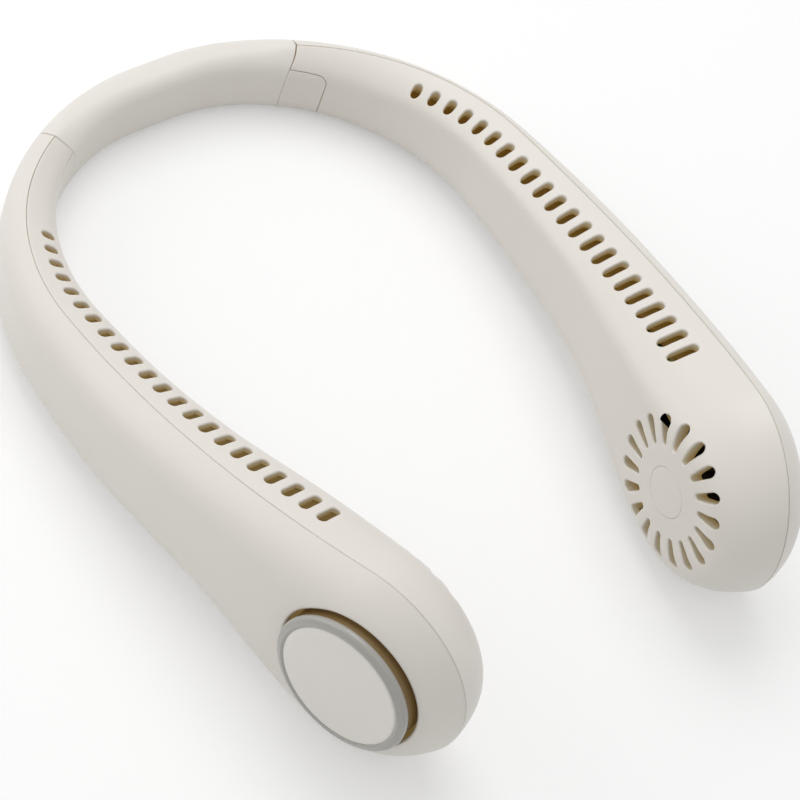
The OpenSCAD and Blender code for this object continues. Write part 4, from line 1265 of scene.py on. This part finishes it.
@dataclass
class Turned:
    """A piece turned round the fan axis from a profile, with a second finish at its foot."""

    corners: list[Corner]
    closed: bool = False
    foot: Finish | None = None
    foot_z: float = 0.0
    steps: int = 160
    arc_steps: int = 5
    sharp_deg: float = 35.0

    def profile(self) -> list[Vector]:
        """Points of the profile, with arcs in place of the rounded corners."""
        points = []
        total = len(self.corners)
        for i, corner in enumerate(self.corners):
            here = Vector((corner.r, 0.0, corner.z))
            if not corner.rounding:
                points.append(here)
                continue
            before = self.corners[i - 1]
            after = self.corners[(i + 1) % total]
            one = (Vector((before.r, 0.0, before.z)) - here).normalized()
            two = (Vector((after.r, 0.0, after.z)) - here).normalized()
            half = one.angle(two) / 2
            start = here + one * corner.rounding / math.tan(half)
            end = here + two * corner.rounding / math.tan(half)
            centre = here + (one + two).normalized() * corner.rounding / math.sin(half)
            for k in range(self.arc_steps + 1):
                arm = (start - centre).slerp(end - centre, k / self.arc_steps)
                points.append(centre + arm)
        return points

    def build(self, name: str, place: Matrix, hand: Hand, finish: Finish) -> bpy.types.Object:
        """Turns the profile and puts it at the head of an arm.

        Args:
            name: Name of the piece.
            place: Frame of the right head that the profile is turned in.
            hand: The arm it belongs to.
            finish: Its finish.

        Returns:
            The new object.
        """
        points = self.profile()
        edges = [(i, i + 1) for i in range(len(points) - 1)]
        if self.closed:
            edges.append((len(points) - 1, 0))
        mesh = bpy.data.meshes.new(name)
        mesh.from_pydata([p * MM for p in points], edges, [])
        piece = bpy.data.objects.new(name, mesh)
        bpy.context.scene.collection.objects.link(piece)
        select_only(piece)
        bpy.ops.object.mode_set(mode="EDIT")
        bpy.ops.mesh.select_all(action="SELECT")
        bpy.ops.mesh.spin(steps=self.steps, angle=math.tau, center=(0, 0, 0), axis=(0, 0, 1))
        bpy.ops.mesh.select_all(action="SELECT")
        bpy.ops.mesh.remove_doubles(threshold=TINY)
        bpy.ops.object.mode_set(mode="OBJECT")
        mesh.materials.append(finish.make())
        if self.foot:
            mesh.materials.append(self.foot.make())
            for polygon in mesh.polygons:
                polygon.material_index = int(polygon.center.z < self.foot_z * MM)
        place = place.copy()
        place.translation *= MM
        mirror = Matrix.Diagonal((hand.value, 1, 1, 1))
        mesh.transform(mirror @ place)
        bpy.ops.object.mode_set(mode="EDIT")
        bpy.ops.mesh.select_all(action="SELECT")
        bpy.ops.mesh.normals_make_consistent(inside=False)
        bpy.ops.object.mode_set(mode="OBJECT")
        bpy.ops.object.shade_smooth_by_angle(angle=math.radians(self.sharp_deg))
        return piece


@dataclass
class HeadTrim:
    """Cap and ring of both heads."""

    form: ArmForm
    cap_r: float = 16.35
    cap_face: float = 11.5
    cap_t: float = 2.4
    plain_drop: float = 2.9
    ring_r: float = 18.5
    ring_in_r: float = 16.65
    ring_top: float = 11.1
    ring_t: float = 1.6
    foot_r: float = 18.1
    light_z: float = 4.4
    soft: float = 0.8
    ring_soft: float = 0.35
    under_soft: float = 0.3
    foot_play: float = 0.01

    def build(self) -> None:
        """Makes the trim of both heads."""
        for hand in Hand:
            arm = f"{hand.word}_arm"
            cap_body = "power_button" if hand is Hand.LEFT else arm
            drop = self.plain_drop if hand is Hand.RIGHT else 0.0
            self._fit(self._cap(drop), hand, CAP, "cap_disc", cap_body)
            self._fit(self._ring(drop), hand, RING, "cap_ring", arm)

    def _fit(self, piece: Turned, hand: Hand, finish: Finish, part: str, body: str) -> None:
        """Builds one piece for one arm in place of its node."""
        node = f"{hand.word}_{part}"
        made = piece.build(f"{node}_skin", self.form.to_head(), hand, finish)
        settle(made, body, finish.name, node)

    def _cap(self, drop: float) -> Turned:
        """Cap disc with a soft edge, lower by a drop."""
        face = self.cap_face - drop
        low = face - self.cap_t
        return Turned([Corner(0.0, face), Corner(self.cap_r, face, self.soft),
                       Corner(self.cap_r, low, self.under_soft), Corner(0.0, low)])

    def _ring(self, drop: float) -> Turned:
        """Translucent ring with a round outer shoulder on a narrower foot, lower by a drop; the
        foot is coloured dark brown as painted shade in the gap round it.
        """
        top = self.ring_top - drop
        low = top - self.ring_t
        corners = [Corner(self.ring_in_r, top, self.ring_soft), Corner(self.ring_r, top, self.soft),
                   Corner(self.ring_r, low), Corner(self.foot_r, low),
                   Corner(self.foot_r, self.light_z), Corner(self.ring_in_r, self.light_z)]
        return Turned(corners, closed=True, foot=RING_FOOT_SHADE, foot_z=low - self.foot_play)


# Studio


@dataclass(frozen=True)
class Viewpoint:
    """The photograph's camera: where it stands and where it looks, in degrees and metres."""

    place: tuple[float, float, float] = (-0.46601, -0.35184, 0.74423)
    azimuth: float = 54.101
    fall: float = 51.688
    roll: float = 23.414
    lens: float = 170.793
    sensor: float = 36.0

    def build(self) -> None:
        """Makes the camera and hands it to the scene."""
        turn, fall, roll = (math.radians(v) for v in (self.azimuth, self.fall, self.roll))
        ahead = Vector((math.sin(turn) * math.cos(fall), math.cos(turn) * math.cos(fall),
                        -math.sin(fall)))
        level = ahead.cross(Vector((0, 0, 1))).normalized()
        upright = level.cross(ahead)
        right = level * math.cos(roll) + upright * math.sin(roll)
        up = upright * math.cos(roll) - level * math.sin(roll)
        data = bpy.data.cameras.new("view")
        data.lens = self.lens
        data.sensor_width = self.sensor
        camera = bpy.data.objects.new("view", data)
        turned = Matrix((right, up, -ahead)).transposed().to_4x4()
        camera.matrix_world = Matrix.Translation(Vector(self.place)) @ turned
        bpy.context.scene.collection.objects.link(camera)
        bpy.context.scene.camera = camera


@dataclass(frozen=True)
class Softbox:
    """A square soft lamp: its size, place and strength, aimed at the part."""

    name: str
    place: tuple[float, float, float]
    size: float
    power: float
    colour: tuple[float, float, float] = (1.0, 1.0, 1.0)

    def build(self) -> None:
        """Makes the lamp."""
        data = bpy.data.lights.new(self.name, "AREA")
        data.shape = "SQUARE"
        data.size = self.size
        data.energy = self.power
        data.color = self.colour
        lamp = bpy.data.objects.new(self.name, data)
        lamp.location = self.place
        lamp.rotation_euler = (-Vector(self.place)).to_track_quat("-Z", "Y").to_euler()
        bpy.context.scene.collection.objects.link(lamp)


@dataclass(frozen=True)
class Studio:
    """White floor, pale surroundings and soft lamps."""

    lamps: tuple[Softbox, ...] = (
        Softbox("key", (0.2, 0.5, 1.15), 0.9, 5.4),
        Softbox("fill", (-0.75, 0.7, 0.5), 0.8, 2.2),
    )
    surround: float = 0.56
    floor_half: float = 4.0
    floor_tone: float = 0.8
    floor_lift: float = 0.27
    floor_rough: float = 0.9
    floor_gap: float = 0.0002

    def build(self) -> None:
        """Makes the floor, the surroundings and the lamps."""
        self._world()
        self._floor()
        for lamp in self.lamps:
            lamp.build()
        bpy.context.scene.view_settings.view_transform = "Standard"

    def _strength(self, tree: bpy.types.NodeTree, low: float, high: float) -> bpy.types.Node:
        """Adds a strength that is high for rays from the camera, a gloss or a glass, else low."""
        path = add(tree, "ShaderNodeLightPath")
        first, second = add(tree, "ShaderNodeMath"), add(tree, "ShaderNodeMath")
        first.operation = second.operation = "MAXIMUM"
        strength = add(tree, "ShaderNodeMapRange", {"To Min": low, "To Max": high})
        join(tree, (path, "Is Camera Ray", first, 0), (path, "Is Glossy Ray", first, 1),
             (first, 0, second, 0), (path, "Is Transmission Ray", second, 1),
             (second, 0, strength, "Value"))
        return strength

    def _world(self) -> None:
        """Pale surroundings, white where they are seen."""
        world = bpy.context.scene.world or bpy.data.worlds.new("studio")
        bpy.context.scene.world = world
        world.use_nodes = True
        tree = world.node_tree
        back = tree.nodes["Background"]
        back.inputs["Color"].default_value = (1, 1, 1, 1)
        join(tree, (self._strength(tree, self.surround, 1.0), "Result", back, "Strength"))

    def _floor(self) -> None:
        """Large pale floor that keeps the part's shadow."""
        bpy.ops.object.select_all(action="DESELECT")
        bpy.ops.mesh.primitive_plane_add(size=self.floor_half * 2, location=(0, 0, -self.floor_gap))
        floor = bpy.context.object
        bpy.ops.object.transform_apply(location=True, rotation=True, scale=True)
        floor.name = "studio_floor"
        material = bpy.data.materials.new("studio_floor")
        material.use_nodes = True
        tree = material.node_tree
        shader = tree.nodes["Principled BSDF"]
        shader.inputs["Base Color"].default_value = (self.floor_tone,) * 3 + (1,)
        shader.inputs["Roughness"].default_value = self.floor_rough
        shader.inputs["Specular IOR Level"].default_value = 0.0
        shader.inputs["Emission Color"].default_value = (1, 1, 1, 1)
        lift = self._strength(tree, 0.0, self.floor_lift)
        join(tree, (lift, "Result", shader, "Emission Strength"))
        floor.data.materials.append(material)
        floor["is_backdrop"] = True


def dress_nodes() -> None:
    """Gives each carried-over node the finish of its material."""
    for name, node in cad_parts.items():
        for ending, finish in NODE_FINISHES.items():
            if name.endswith(ending):
                node.data.materials.clear()
                node.data.materials.append(finish.make())


def corners(box: Iterable[Vector]) -> list[list[float]]:
    """A box's two corners as plain lists."""
    return [[round(value, 6) for value in corner] for corner in box]


def main() -> None:
    """Builds the camera, the studio and every piece, and logs the two boxes."""
    logging.basicConfig(level=logging.INFO, format="%(name)s %(message)s")
    cad_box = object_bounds()
    Viewpoint().build()
    Studio().build()
    dress_nodes()
    form = ArmForm()
    ArmShells(form).build()
    NeckBand(form).build()
    HeadTrim(form).build()
    boxes = {"cad": corners(cad_box), "visual": corners(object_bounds())}
    LOG.info("boxes %s", boxes)


if __name__ == "__main__":
    main()
